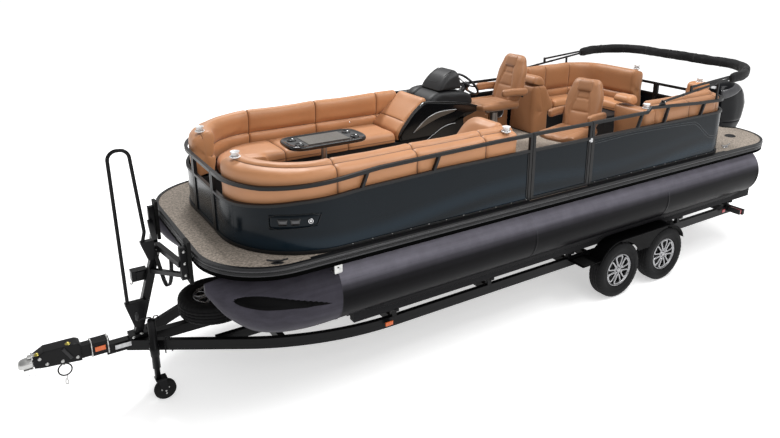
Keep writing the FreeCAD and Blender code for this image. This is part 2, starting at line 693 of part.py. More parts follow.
# ---------------------------------------------------------------- outboard
TILT_AT = (-4322.0, 1432.0)
STEER_X = -4450.0
PROP_AT = (-4850.0, 620.0)
COWL_LOW = 1345.0
COWL_FLOOR = 1500.0           # top of the hollow that straddles the bracket
COWL_HALF = 240.0


def make_cowl():
    """Engine block under its cover: side, plan and end outlines meet in one rounded form."""
    side = prism([
        (-4437, 1416), (-4362, 1856), (-4375, 1975), (-4450, 2070), (-4600, 2100), (-4780, 2075),
        (-4930, 1995), (-5040, 1875), (-HALF_LENGTH, 1720), (-5060, 1560), (-4960, 1380),
        (-4900, COWL_LOW), (-4480, COWL_LOW),
    ], "y", -COWL_HALF, COWL_HALF)
    plan = box(-HALF_LENGTH, -4362, -COWL_HALF, COWL_HALF, COWL_LOW - 10, 2120)
    plan = plan.makeFillet(165, [e for e in plan.Edges if abs(e.BoundBox.ZLength) > 700])
    end = box(-HALF_LENGTH - 10, -4300, -COWL_HALF, COWL_HALF, COWL_LOW - 200, 2112)
    shoulders = [e for e in end.Edges if e.BoundBox.XLength > 700 and e.CenterOfMass.z > 2000]
    end = end.makeFillet(120, shoulders)
    hollow = box(-4910, -4300, -185, 185, COWL_LOW - 10, COWL_FLOOR)
    return side.common(plan).common(end).cut(hollow)


def make_outboard():
    tx, tz = TILT_AT
    face = POD_AFT - 1
    cheek = [(face, 1478), (tx - 22, 1478), (tx - 24, tz - 20), (face - 30, 1080), (face, 1080)]
    cheeks = [prism(cheek, "y", y, y + 18) for y in (-130.0, 112.0)]
    plate = box(face - 14, face, -130, 130, 1150, 1437)
    pin = rod((tx, -113, tz), (tx, 113, tz), 10)
    save("outboard_bracket", joined(cheeks + [plate, pin]))

    ear = rod((tx, -100, tz), (tx, 100, tz), 21)
    body = rod((STEER_X, 0, 1130), (STEER_X, 0, 1450), 52)
    arm = box(STEER_X + 20, tx - 12, -55, 55, tz - 25, tz + 25)
    kingpin_hole = rod((STEER_X, 0, 1100), (STEER_X, 0, 1500), 24)
    pin_hole = rod((tx, -101, tz), (tx, 101, tz), 10 + GAP)
    save("outboard_swivel", joined([body, arm, ear]).cut(kingpin_hole).cut(pin_hole))
    save("outboard_cowl", make_cowl())

    kingpin = rod((STEER_X, 0, 1100), (STEER_X, 0, 1470), 22)
    upper = box(-4900, STEER_X + 45, -95, 95, 1466, COWL_FLOOR - GAP)
    lower = box(-4700, STEER_X + 45, -50, 50, 1060, 1105)
    leg_side = [(-4530, 1470), (-4850, 1470), (-4790, 900), (-4800, 810), (-4560, 810), (-4560, 1000)]
    leg = prism(leg_side, "y", -70, 70)
    plate = box(-4960, -4540, -110, 110, 812, 825)
    torpedo = rod((-4800, 0, PROP_AT[1]), (-4480, 0, PROP_AT[1]), 55)
    nose = Part.makeCone(55, 8, 110, V(-4480, 0, PROP_AT[1]), ALONG)
    strut = box(-4785, -4520, -18, 18, 640, 815)
    skeg = prism([(-4500, 600), (-4760, 600), (-4740, 440), (-4660, 440)], "y", -6, 6)
    save("outboard_leg", joined([kingpin, upper, lower, leg, plate, torpedo, nose, strut, skeg]))

    hub = rod((-4895, 0, PROP_AT[1]), (-4805, 0, PROP_AT[1]), 52)
    blades = []
    for n in range(3):
        blade = prism([(-25, 40), (25, 40), (68, 115), (38, 170), (-38, 170), (-68, 115)], "x", -4, 4)
        blade.rotate(V(0, 0, 0), UP, 28)
        blade.translate(V(PROP_AT[0], 0, PROP_AT[1]))
        blade.rotate(V(PROP_AT[0], 0, PROP_AT[1]), ALONG, 120 * n)
        blades.append(blade)
    save("propeller", joined([hub] + blades))


# ---------------------------------------------------------------- trailer
def main_beam():
    """Port main beam: straight along the tube, a long bend, then in to the tongue."""
    z0 = FRAME_BOTTOM
    z1 = z0 + FRAME_H
    cut = BEND_R * math.tan(BEND_TURN / 2)
    x_start = BEND_CORNER_X - cut
    cx = x_start
    cy = FRAME_Y - BEND_R
    half = FRAME_W / 2
    deg = math.degrees(BEND_TURN)
    straight = box(FRAME_AFT, x_start, FRAME_Y - half, FRAME_Y + half, z0, z1)
    bend = sector(cx, cy, BEND_R + half, BEND_R - half, 90 - deg, 90, z0, z1)
    end = V(cx + BEND_R * math.sin(BEND_TURN), cy + BEND_R * math.cos(BEND_TURN), z0)
    run = V(math.cos(BEND_TURN), -math.sin(BEND_TURN), 0)
    length = (end.y - 10) / math.sin(BEND_TURN)
    tip = end + run * length
    middle = V(0, 0, FRAME_H / 2)
    across = V(math.sin(BEND_TURN), math.cos(BEND_TURN), 0)
    diagonal = bar(end + middle, tip + middle, FRAME_W, FRAME_H, across)
    return joined([straight, bend, diagonal])


CROSS_X = (-3600.0, -2500.0, -500.0, 700.0, 1900.0)
CROSS_W = 60.0
FRONT_CROSS = 2960.0
FENDER_IN = 1050.0
FENDER_OUT = 1240.0
FENDER_R = 388.0
FENDER_T = 6.0
FENDER_LOW = 505.0
JACK_AT = (4036.0, 266.0)
CASTER_TRAIL = 50.0
SPARE_X = 3380.0
SPARE_Z = 720.0


def make_chassis():
    z0 = FRAME_BOTTOM
    z1 = z0 + FRAME_H
    beam = main_beam()
    parts = [
        beam, mirrored(beam),
        box(FRONT_CROSS + CROSS_W + GAP, 4400.0, -TONGUE_HALF, TONGUE_HALF, z0 + 14, SPINE_TOP),
        box(4370.0, TONGUE_FRONT, -TONGUE_HALF, TONGUE_HALF, 520, 640),
        rod((SPARE_X, 0, SPINE_TOP - 10), (SPARE_X, 0, SPARE_Z + 15), 27),
    ]
    for low in (850, -1180):
        # light bar across the beam's end
        parts.append(box(FRAME_AFT - 40, FRAME_AFT + 5, low, low + 330, z0 + 14, z1 - 14))
    save("trailer_frame", joined(parts))

    members = []
    between = FRAME_Y - FRAME_W / 2 - GAP
    for x in CROSS_X:
        members.append(box(x, x + CROSS_W, -between, between, z0 + 10, z1 - 10))
    members.append(box(FRONT_CROSS, FRONT_CROSS + CROSS_W, -703.0, 703.0, z0 + 10, z1 - 10))
    # ends of each run of the inner beams
    runs = ((CROSS_X[3], CROSS_X[4]), (CROSS_X[4], FRONT_CROSS), (FRONT_CROSS, INNER_FRONT))
    for y in (INNER_Y, -INNER_Y):
        for aft, fore in runs:
            members.append(box(aft + CROSS_W + GAP, fore - GAP, y - 25, y + 25, z0 + 6, z1 - 6))
    save("trailer_crossmembers", group(members))


def make_bunks():
    z1 = FRAME_BOTTOM + FRAME_H
    bunks = []
    posts = []
    for sign in (1, -1):
        trough = rod((-4100, sign * TUBE_Y, TUBE_Z), (2500, sign * TUBE_Y, TUBE_Z), TUBE_R + GAP)
        for side in (70, -70):
            y = sign * (TUBE_Y + side)
            bunks.append(box(-3970.0, 2400.0, y - 40, y + 40, 667, 785).cut(trough))
        for x in CROSS_X:
            y = sign * FRAME_Y
            near = min(sign * 815, sign * 1045)
            posts.append(joined([
                box(x + 5, x + 55, near, near + 230, 640, 667 - GAP),
                box(x + 5, x + 55, y - 24, y + 24, z1 + GAP, 645),
            ]))
    save("trailer_bunks", group(bunks))
    save("bunk_brackets", group(posts))


def make_axles():
    axles = []
    for x in AXLE_X:
        parts = [box(x - 35, x + 35, -1000, 1000, WHEEL_R - 30, WHEEL_R + 40)]
        for sign in (1, -1):
            parts.append(rod((x, sign * 999, WHEEL_R), (x, sign * 1185, WHEEL_R), 28))
            parts.append(rod((x, sign * 999, WHEEL_R), (x, sign * 1048, WHEEL_R), 60))
            low = min(sign * 900, sign * 990)
            parts.append(box(x - 60, x + 60, low, low + 90, WHEEL_R + 30, FRAME_BOTTOM - GAP))
        axles.append(joined(parts))
    save("axles", group(axles))


def arch(radius, y0, y1):
    """Both wheels' discs and the block between them."""
    discs = [rod((x, y0, WHEEL_R), (x, y1, WHEEL_R), radius) for x in AXLE_X]
    return joined(discs + [box(AXLE_X[1], AXLE_X[0], y0, y1, WHEEL_R, WHEEL_R + radius)])


def make_fenders():
    front = AXLE_X[0] + FENDER_R
    back = AXLE_X[1] - FENDER_R
    below = box(back - 50, front + 50, FENDER_IN - 1, FENDER_OUT + 1, -100, FENDER_LOW)
    inside = arch(FENDER_R - FENDER_T, FENDER_IN - 1, FENDER_OUT + 1)
    sheet = arch(FENDER_R, FENDER_IN, FENDER_OUT).cut(inside)
    web = box(AXLE_X[1], AXLE_X[0], FENDER_OUT - FENDER_T, FENDER_OUT, 526, WHEEL_R + FENDER_R - 3)
    for x in AXLE_X:
        web = web.cut(rod((x, FENDER_OUT - 20, WHEEL_R), (x, FENDER_OUT + 20, WHEEL_R), WHEEL_R + 13))
    middle = (AXLE_X[0] + AXLE_X[1]) / 2
    beam_side = FRAME_Y + FRAME_W / 2 + GAP
    stays = [
        box(front - 45, front + 245, beam_side, FENDER_OUT - 5, 545, 553),
        box(back - 30, back + 45, beam_side, FENDER_IN + 60, 545, 553),
        box(middle - 25, middle + 25, beam_side, FENDER_OUT - 3, 540, 548),
    ]
    fender = joined([sheet.cut(below), web] + stays)
    save("fenders", group([fender, mirrored(fender)]))


def make_winch_stand():
    foot_z = SPINE_TOP + GAP
    post = bar((4115, 0, 600), (3860, 0, 1440), 70, 70)
    foot = box(4040, 4200, -60, 60, foot_z, 610)
    winch = box(3960, 4100, -135, -45, 1090, 1190)
    ear = box(3985, 4060, -50, -30, 1100, 1180)
    save("winch_stand", joined([post, foot, winch, ear]))

    arms = []
    pads = []
    for sign in (1, -1):
        y = sign * 560
        arms.append(bar((3870, 0, 1440), (3790, y, 1440), 50, 50, UP))
        arms.append(bar((3940, 0, 1190), (3780, y, 1340), 40, 40, UP))
        arms.append(box(3742, 3800, y - 25, y + 25, 1300, 1600))
        pads.append(box(3712, 3742 - GAP, y - 60, y + 60, 1257, 1651))
    save("bow_stop", joined(arms).cut(bar((4115, 0, 600), (3820, 0, 1572), 71, 71)))
    save("bow_stop_pads", group(pads))

    # handrail loop with its two foot brackets on the post
    y = 68.0
    rail = bent_tube(
        [(4182, y, 940), (4188, y, 2378), (4016, y, 2378), (3966, y, 1600), (3994, y, 1500)], 16, 80)
    lower = [(4020, 955), (4205, 955), (4205, 930), (4150, 712), (4095, 700)]
    upper = [(3898, 1515), (4012, 1515), (4012, 1492), (3962, 1330), (3905, 1330)]
    brackets = [prism(outline, "y", 36, 92) for outline in (lower, upper)]
    save("boarding_steps", joined([rail] + brackets))


def make_coupler():
    half = TONGUE_HALF + 10
    body = prism(
        [(4600, 518), (4600, 700), (4640, 712), (4900, 712), (4985, 650), (4985, 560)], "y", -half, half)
    nose = rod((BALL_X, 0, 556), (BALL_X, 0, 640), HALF_LENGTH - BALL_X)
    neck = box(4960, BALL_X, -50, 50, 556, 636)
    sleeve = box(4590, TONGUE_FRONT + GAP, -TONGUE_HALF - GAP, TONGUE_HALF + GAP, 520 - GAP, 640 + GAP)
    socket = rod((BALL_X, 0, 550), (BALL_X, 0, BALL_TOP), BALL_R)
    save("coupler", joined([body, neck, nose]).cut(sleeve).cut(socket))


def make_jack():
    jx, jy = JACK_AT
    tube = rod((jx, jy, 343), (jx, jy, 835), 34)
    bracket = box(jx - 30, jx + 30, 174, jy, 480, 560)
    crank = box(jx - 10, jx + 120, jy - 12, jy + 12, 835, 850)
    save("jack_column", joined([tube, bracket, crank]).cut(rod((jx, jy, 300), (jx, jy, 800), 28)))

    wx = jx - CASTER_TRAIL
    inner = rod((jx, jy, 232), (jx, jy, 700), 26)
    crown = box(wx - 25, jx + 28, jy - 45, jy + 45, 218, 236)
    parts = [inner, crown]
    for low in (jy - 41, jy + 35):
        parts.append(box(wx - 25, wx + 25, low, low + 6, 85, 220))
    parts.append(rod((wx, jy - 41, 100), (wx, jy + 41, 100), 8))
    save("jack_caster", joined(parts))
    roller = rod((wx, jy - 30, 100), (wx, jy + 30, 100), 100)
    roller = roller.makeFillet(12, roller.Edges[0:1] + roller.Edges[2:3])
    save("jack_wheel", roller.cut(rod((wx, jy - 31, 100), (wx, jy + 31, 100), 9)))


def make_trailer():
    make_chassis()
    make_bunks()
    make_axles()
    make_fenders()
    make_winch_stand()
    make_coupler()
    make_jack()


# distance from the wheel's middle plane along the axle, and radius
TYRE_PROFILE = (
    (-76, 204), (76, 204), (93, 240), (WHEEL_W / 2, 285), (91, 325), (78, 343), (64, WHEEL_R),
    (-64, WHEEL_R), (-78, 343), (-91, 325), (-WHEEL_W / 2, 285), (-93, 240),
)
SPOKES = 6


def revolved(profile):
    """Profile of (y, radius) points turned about the Y axis."""
    corners = [V(0, y, r) for y, r in profile]
    face = Part.Face(Part.makePolygon(corners + corners[:1]))
    return face.revolve(V(0, 0, 0), ACROSS, 360)


def make_wheel_shapes():
    tyre = revolved(TYRE_PROFILE)
    barrel = revolved([(-75, 203.5), (75, 203.5), (75, 190), (-75, 190)])
    hub = revolved([(10, 29), (10, 62), (62, 62), (62, 29)])
    hub_cap = revolved([(60, 0), (60, 40), (80, 34), (80, 0)])
    spokes = []
    for n in range(SPOKES):
        spoke = prism(
            [(-14, 40), (14, 40), (38, 194), (12, 194), (0, 105), (-12, 194), (-38, 194)], "y", 48, 74)
        spoke.rotate(V(0, 0, 0), ACROSS, 360 / SPOKES * n)
        spokes.append(spoke)
    rim = joined([barrel, hub, hub_cap] + spokes)
    return tyre, rim


def make_wheels():
    tyre, rim = make_wheel_shapes()
    axle_names = (("front", AXLE_X[0]), ("rear", AXLE_X[1]))
    for axle, x in axle_names:
        for side, sign in (("port", 1), ("starboard", -1)):
            for kind, shape in (("tyre", tyre), ("rim", rim)):
                piece = shape.copy() if sign > 0 else mirrored(shape)
                piece.translate(V(x, sign * WHEEL_Y, WHEEL_R))
                save(axle + "_" + kind + "_" + side, piece)
    spare_tyre = tyre.copy()
    spare_rim = rim.copy()
    for shape in (spare_tyre, spare_rim):
        shape.rotate(V(0, 0, 0), ALONG, 90)
        shape.translate(V(SPARE_X, 0, SPARE_Z))
    save("spare_wheel", spare_tyre.fuse(spare_rim))


os.makedirs("parts", exist_ok=True)
make_hull()
make_fence()
make_gates()
make_seats()
make_table()
make_console()
make_chairs()
make_bimini()
make_outboard()
make_trailer()
make_wheels()
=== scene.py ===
"""Looks of a pontoon boat on its trailer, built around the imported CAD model."""
import math

import bmesh
import bpy
from mathutils import Matrix, Vector, noise


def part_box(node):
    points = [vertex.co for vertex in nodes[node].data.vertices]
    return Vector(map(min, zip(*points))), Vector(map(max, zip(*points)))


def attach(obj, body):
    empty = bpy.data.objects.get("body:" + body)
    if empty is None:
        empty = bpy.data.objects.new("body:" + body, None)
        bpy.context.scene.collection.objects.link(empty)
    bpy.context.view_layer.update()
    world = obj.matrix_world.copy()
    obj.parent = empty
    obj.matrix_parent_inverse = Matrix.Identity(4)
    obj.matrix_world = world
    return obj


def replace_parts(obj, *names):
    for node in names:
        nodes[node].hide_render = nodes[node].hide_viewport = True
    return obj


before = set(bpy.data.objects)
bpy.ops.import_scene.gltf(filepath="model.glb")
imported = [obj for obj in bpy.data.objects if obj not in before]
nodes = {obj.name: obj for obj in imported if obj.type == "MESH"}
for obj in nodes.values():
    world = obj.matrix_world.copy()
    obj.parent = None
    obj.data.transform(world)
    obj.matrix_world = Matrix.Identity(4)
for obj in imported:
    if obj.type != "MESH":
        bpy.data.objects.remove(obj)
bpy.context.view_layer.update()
scene = bpy.context.scene
TAU = 2 * math.pi
SIDES = ((1, "port"), (-1, "starboard"))

# ---------------------------------------------------------------- camera, lights, floor
LENS = 31.47                  # millimetres, on a sensor 36 mm wide
CAMERA_PLACE = (5.0336, 6.0545, 4.0471)
camera_data = bpy.data.cameras.new("camera")
camera_data.lens = LENS
camera_data.sensor_width = 36.0
camera_data.shift_x = -0.0316
camera_data.shift_y = -0.0745
camera_data.clip_end = 1500.0
camera = bpy.data.objects.new("camera", camera_data)
scene.collection.objects.link(camera)
YAW, PITCH, ROLL = -2.1534, -0.3066, -0.0054
view = Vector((math.cos(PITCH) * math.cos(YAW), math.cos(PITCH) * math.sin(YAW), math.sin(PITCH)))
right = view.cross(Vector((0, 0, 1))).normalized()
up = right.cross(view)
tilt = Matrix.Rotation(ROLL, 3, view)
right = tilt @ right
up = tilt @ up
turn = Matrix((right, up, -view)).transposed()
camera.matrix_world = Matrix.Translation(CAMERA_PLACE) @ turn.to_4x4()
scene.camera = camera

scene.view_settings.view_transform = "Standard"
world = bpy.data.worlds.new("studio")
scene.world = world
world.use_nodes = True
sky = world.node_tree.nodes["Background"]
sky.inputs["Color"].default_value = (1.0, 1.0, 1.0, 1.0)
sky.inputs["Strength"].default_value = 0.50


def area_light(name, place, target, size, power, tint=(1, 1, 1)):
    data = bpy.data.lights.new(name, "AREA")
    data.shape = "RECTANGLE"
    data.size, data.size_y = size
    data.energy = power
    data.color = tint
    lamp = bpy.data.objects.new(name, data)
    scene.collection.objects.link(lamp)
    lamp.location = place
    lamp.rotation_euler = (Vector(target) - Vector(place)).to_track_quat("-Z", "Y").to_euler()
    return lamp


area_light("key", (1.0, -6.5, 11.0), (0, 0, 0.8), (2.2, 2.2), 900)
area_light("fill", (1.5, 9.0, 6.0), (0, 0, 1.2), (6, 5), 175)
area_light("top", (-2.4, 3.0, 9.0), (-0.4, 0, 1.5), (8, 4), 560)


# the recess in each side of a tube's nose: where it starts, its length, middle height, rise and half height
RECESS_X, RECESS_LENGTH, RECESS_Z, RECESS_RISE, RECESS_TALL = 2.72, 0.80, 1.078, 0.165, 0.058
NOSE_WELD = 2.620             # the nose is ahead of this weld


# ---------------------------------------------------------------- materials
class Graph:
    """A node material under construction; node() adds a node, sets its inputs and returns it."""

    def __init__(self, name):
        self.material = bpy.data.materials.new(name)
        self.material.use_nodes = True
        self.tree = self.material.node_tree
        self.shader = self.tree.nodes["Principled BSDF"]
        self.where = self.node("ShaderNodeTexCoord").outputs["Object"]

    def node(self, kind, props=(), **inputs):
        made = self.tree.nodes.new(kind)
        for key, value in dict(props).items():
            setattr(made, key, value)
        for key, value in inputs.items():
            self.put(made, key.replace("_", " "), value)
        return made

    def put(self, made, key, value):
        socket = made.inputs[int(key[1:])] if key[:1] == "i" and key[1:].isdigit() else made.inputs[key]
        if isinstance(value, bpy.types.NodeSocket):
            self.tree.links.new(value, socket)
        else:
            socket.default_value = value

    def set(self, **inputs):
        """Links or sets inputs of the shader itself."""
        for key, value in inputs.items():
            self.put(self.shader, key.replace("_", " "), value)

    def noise(self, scale, detail=2.0, rough=0.5, where=None):
        made = self.node("ShaderNodeTexNoise", Scale=scale, Detail=detail, Roughness=rough)
        self.put(made, "Vector", where or self.where)
        return made.outputs["Fac"]

    def wave(self, direction, scale, distortion=0.0):
        made = self.node("ShaderNodeTexWave", {"bands_direction": direction}, Scale=scale,
            Distortion=distortion, Vector=self.where)
        return made.outputs["Fac"]

    def span(self, value, low, high, start=0.0, end=1.0):
        """A number between low and high as value goes from start to end."""
        made = self.node("ShaderNodeMapRange", Value=value, From_Min=start, From_Max=end, To_Min=low,
            To_Max=high)
        return made.outputs["Result"]

    def ramp(self, fac, low, high, start=0.3, end=0.7):
        """Colour or grey between low and high as fac goes from start to end."""
        made = self.node("ShaderNodeValToRGB")
        self.put(made, "Fac", fac)
        first, last = made.color_ramp.elements
        first.position, last.position = start, end
        first.color, last.color = shade(low), shade(high)
        return made.outputs["Color"]

    def math(self, what, a, b=0.0, c=0.0):
        made = self.node("ShaderNodeMath", {"operation": what})
        self.put(made, "i0", a)
        self.put(made, "i1", b)
        self.put(made, "i2", c)
        return made.outputs[0]

    def mix(self, fac, a, b):
        made = self.node("ShaderNodeMix", {"data_type": "RGBA"})
        self.put(made, "i0", fac)
        self.put(made, "i6", a)
        self.put(made, "i7", b)
        return made.outputs[2]

    def axis(self, letter):
        made = self.node("ShaderNodeSeparateXYZ")
        self.put(made, "Vector", self.where)
        return made.outputs["XYZ".index(letter)]

    def stretched(self, scale):
        made = self.node("ShaderNodeMapping", Scale=scale)
        self.put(made, "Vector", self.where)
        return made.outputs["Vector"]

    def bump(self, height, strength, distance, normal=None):
        made = self.node("ShaderNodeBump", Strength=strength, Distance=distance)
        self.put(made, "Height", height)
        if normal is not None:
            self.put(made, "Normal", normal)
        return made.outputs["Normal"]


def shade(value, alpha=1.0):
    if isinstance(value, (int, float)):
        return (value, value, value, alpha)
    return (*value, alpha)


def scaled(color, factor):
    return tuple(min(1.0, c * factor) for c in color)


def surface(name, color, rough, metal=0.0, coat=0.0, vary=0.12, blotch=1.5, grain=900.0, lift=0.00015,
        rough_swing=0.08, edge=0.0, sheen=0.0, worn=0.0, pores=None, streak=None, spec=0.4):
    """Principled material: colour drifts in large soft patches and a fine grain lifts the surface.

    edge is the radius of the softened corners, worn how much their colour lightens."""
    g = Graph(name)
    drift = g.noise(blotch, 4.0)
    paint = g.ramp(drift, scaled(color, 1 - vary), scaled(color, 1 + vary))
    if streak:
        lines = g.noise(1.0, 3.0, 0.6, g.stretched(streak))
        paint = g.mix(0.35, paint, g.ramp(lines, scaled(color, 0.7), scaled(color, 1.35)))
    if pores:
        fibre = g.noise(pores[0], 2.0, 0.7)
        paint = g.mix(pores[1], paint, g.ramp(fibre, scaled(color, 0.45), scaled(color, 1.6), 0.35, 0.65))
    normal = None
    if edge:
        corner = g.node("ShaderNodeBevel", {"samples": 4}, Radius=edge)
        normal = corner.outputs["Normal"]
        if worn:
            true = g.node("ShaderNodeNewGeometry").outputs["Normal"]
            same = g.node("ShaderNodeVectorMath", {"operation": "DOT_PRODUCT"}, i0=normal, i1=true)
            turned = g.math("SUBTRACT", 1.0, same.outputs["Value"])
            fac = g.math("MULTIPLY", g.math("MINIMUM", g.math("MULTIPLY", turned, 6.0), 1.0), worn)
            paint = g.mix(fac, paint, shade(scaled(color, 3.0)))
    fine = g.noise(grain, 2.0)
    g.set(Base_Color=paint)
    rougher = g.span(g.noise(blotch * 4, 3.0), max(0.02, rough - rough_swing),
        min(1.0, rough + rough_swing))
    g.set(Roughness=rougher, Metallic=metal, Coat_Weight=coat, Specular_IOR_Level=spec, Coat_Roughness=0.06,
        Sheen_Weight=sheen, Normal=g.bump(fine, 0.35, lift, normal))
    return g.material


TAN = (0.460, 0.208, 0.088)
BLACK = (0.016, 0.016, 0.018)


def vinyl(name, color, darken=1.0):
    """Soft marine vinyl: pebbled grain, faint creases and a slow drift of tone."""
    g = Graph(name)
    tone = scaled(color, darken)
    drift = g.noise(2.2, 4.0)
    paint = g.ramp(drift, scaled(tone, 0.93), scaled(tone, 1.06))
    cells = g.node("ShaderNodeTexVoronoi", Scale=520.0, Vector=g.where)
    pebble = cells.outputs["Distance"]
    paint = g.mix(0.10, paint, g.ramp(pebble, scaled(tone, 0.7), scaled(tone, 1.15), 0.1, 0.6))
    g.set(Base_Color=paint)
    creases = g.noise(26.0, 5.0, 0.62)
    folds = g.bump(creases, 0.22, 0.004)
    g.set(Normal=g.bump(pebble, 0.25, 0.0004, folds), Roughness=g.span(g.noise(11.0, 3.0), 0.40, 0.56),
        Sheen_Weight=0.15, Sheen_Roughness=0.4)
    return g.material


def canvas_cloth():
    """Black woven acrylic canvas with soft creases and a slow drift of tone."""
    g = Graph("boot_canvas")
    weave = g.math("MULTIPLY", g.wave("X", 260.0), g.wave("DIAGONAL", 260.0))
    paint = g.ramp(g.noise(6.0, 4.0), (0.004, 0.004, 0.0045), (0.010, 0.010, 0.011))
    g.set(Base_Color=g.mix(0.2, paint, g.ramp(weave, 0.003, 0.018)))
    creases = g.bump(g.noise(14.0, 5.0, 0.6), 0.4, 0.012)
    g.set(Normal=g.bump(weave, 0.3, 0.0005, creases), Roughness=0.72, Specular_IOR_Level=0.2,
        Sheen_Weight=0.06)
    return g.material


def deck_floor():
    """Woven vinyl flooring: mottled beige yarns in a fine basket weave."""
    g = Graph("deck_weave")
    base = (0.262, 0.222, 0.184)
    weave = g.math("MULTIPLY", g.wave("X", 62.0, 0.6), g.wave("Y", 62.0, 0.6))
    speckle = g.noise(46.0, 4.0, 0.8)
    paint = g.ramp(speckle, scaled(base, 0.35), scaled(base, 1.9), 0.40, 0.60)
    paint = g.mix(0.25, paint, g.ramp(weave, scaled(base, 0.6), scaled(base, 1.3)))
    paint = g.mix(0.3, paint, g.ramp(g.noise(1.3, 3.0), scaled(base, 0.85), scaled(base, 1.12)))
    g.set(Base_Color=paint, Roughness=0.85, Normal=g.bump(weave, 0.4, 0.0012))
    return g.material


def fence_paint():
    """Blue-grey baked paint with a low shaded wave drawn along the panels."""
    g = Graph("fence_paint")
    base = (0.0024, 0.0052, 0.0080)
    x = g.axis("X")
    z = g.axis("Z")
    crest = g.math("SINE", g.math("MULTIPLY", x, 1.9))
    crest = g.math("MULTIPLY_ADD", crest, 0.055, 1.71)
    gap = g.math("SUBTRACT", z, crest)
    folds = g.math("SINE", g.math("MULTIPLY_ADD", gap, 26.0, g.math("MULTIPLY", x, 0.9)))
    below = g.span(gap, 0.0, 1.0, 0.16, -0.12)
    wave = g.math("MULTIPLY", g.math("MULTIPLY_ADD", folds, 0.5, 0.5), below)
    drift = g.ramp(g.noise(1.2, 3.0), scaled(base, 0.9), scaled(base, 1.15))
    g.set(Base_Color=g.mix(wave, drift, shade(scaled(base, 3.6))), Metallic=0.15, Coat_Weight=0.085,
        Coat_Roughness=0.10, Specular_IOR_Level=0.11, Roughness=g.span(g.noise(5.0, 3.0), 0.16, 0.30))
    ripple = g.noise(3.5, 2.0)
    g.set(Normal=g.bump(ripple, 0.12, 0.004))
    return g.material


def tube_paint():
    """Dark satin aluminium tube: rolling marks, scuffs, a painted highlight along the shoulder, painted
    shade low down and a near-black painted shade in the recess in the nose.
    """
    g = Graph("tube_paint")
    base = (0.018, 0.0172, 0.0205)
    marks = g.noise(1.0, 3.0, 0.55, g.stretched((0.6, 22.0, 22.0)))
    paint = g.ramp(marks, scaled(base, 0.82), scaled(base, 1.2))
    scuffs = g.noise(7.0, 6.0, 0.7)
    paint = g.mix(0.22, paint, g.ramp(scuffs, scaled(base, 0.7), scaled(base, 1.3), 0.42, 0.62))
    # painted highlight along the shoulder and painted shade low down, set by height; the nose is one even
    # tone
    steps = g.node("ShaderNodeValToRGB", Fac=g.span(g.axis("Z"), 0.0, 1.0, 0.95, 1.42))
    bands = steps.color_ramp.elements
    bands[0].color = shade(0.25)
    bands[1].color = shade(7.0)
    for place, value in ((0.30, 0.20), (0.42, 0.50), (0.53, 2.4), (0.63, 7.0), (0.75, 11.0), (0.90, 11.0)):
        bands.new(place).color = shade(value)
    tone = steps.outputs["Color"]
    # painted shade: the pressed recess in each side of the nose is painted near black with a clean edge
    along = g.math("DIVIDE", g.math("SUBTRACT", g.axis("X"), RECESS_X), RECESS_LENGTH)
    rise = g.math("POWER", g.math("MINIMUM", g.math("DIVIDE", g.math("MAXIMUM", along, 0.0), 0.7), 1.0),
        0.8)
    close = g.math("MAXIMUM", g.math("DIVIDE", g.math("SUBTRACT", along, 0.7), 0.3), 0.0)
    fall = g.math("SQRT", g.math("MAXIMUM", g.math("SUBTRACT", 1.0, g.math("MULTIPLY", close, close)), 0.0))
    tall = g.math("MULTIPLY", g.math("MULTIPLY", rise, fall), RECESS_TALL)
    offset = g.math("SUBTRACT", g.axis("Z"), g.math("MULTIPLY_ADD", along, RECESS_RISE, RECESS_Z))
    recess = g.math("LESS_THAN", g.math("ABSOLUTE", offset), tall)
    ahead = g.math("GREATER_THAN", g.axis("X"), NOSE_WELD)
    tone = g.mix(ahead, tone, (2.2, 2.15, 2.3, 1.0))
    tone = g.mix(g.math("MULTIPLY", recess, ahead), tone, shade(0.10))
    toned = g.node("ShaderNodeMix", {"data_type": "RGBA", "blend_type": "MULTIPLY"}, i0=1.0, i6=paint,
        i7=tone)
    g.set(Base_Color=toned.outputs[2], Metallic=0.0, Specular_IOR_Level=0.045,
        Roughness=g.span(scuffs, 0.28, 0.46), Normal=g.bump(marks, 0.15, 0.003))
    return g.material


def trim_paint():
    """Black deck edge; its lower flange, tucked in over the tubes, is matt and painted near black as painted
    shade.
    """
    g = Graph("deck_edge_paint")
    lines = g.noise(1.0, 3.0, 0.6, g.stretched((0.5, 40.0, 40.0)))
    paint = g.ramp(lines, (0.0060, 0.0060, 0.0065), (0.0105, 0.0105, 0.0115))
    flange_shade = g.math("LESS_THAN", g.axis("Z"), 1.476)
    g.set(Base_Color=g.mix(flange_shade, paint, shade(0.0004)),
        Roughness=g.math("MULTIPLY_ADD", flange_shade, 0.5, 0.36),
        Specular_IOR_Level=g.math("MULTIPLY_ADD", flange_shade, -0.19, 0.22),
        Normal=g.bump(g.noise(900.0), 0.3, 0.00015))
    return g.material


def alloy_wheel():
    """Machined faces on a gloss black casting: the outermost faces of each wheel are bare metal."""
    g = Graph("alloy_wheel")
    out = g.math("ABSOLUTE", g.axis("Y"))
    face = g.math("GREATER_THAN", out, 1.2265)
    cap = g.math("LESS_THAN", out, 1.2285)
    machined = g.math("MULTIPLY", face, cap)
    rings = g.noise(1.0, 2.0, 0.5, g.stretched((90.0, 2.0, 90.0)))
    bare = g.ramp(rings, 0.48, 0.68)
    black = g.ramp(g.noise(20.0), 0.012, 0.022)
    g.set(Base_Color=g.mix(machined, black, bare), Metallic=machined,
        Roughness=g.math("MULTIPLY_ADD", rings, 0.12, 0.2), Coat_Weight=0.6)
    corner = g.node("ShaderNodeBevel", {"samples": 4}, Radius=0.0025)
    g.set(Normal=corner.outputs["Normal"])
    return g.material


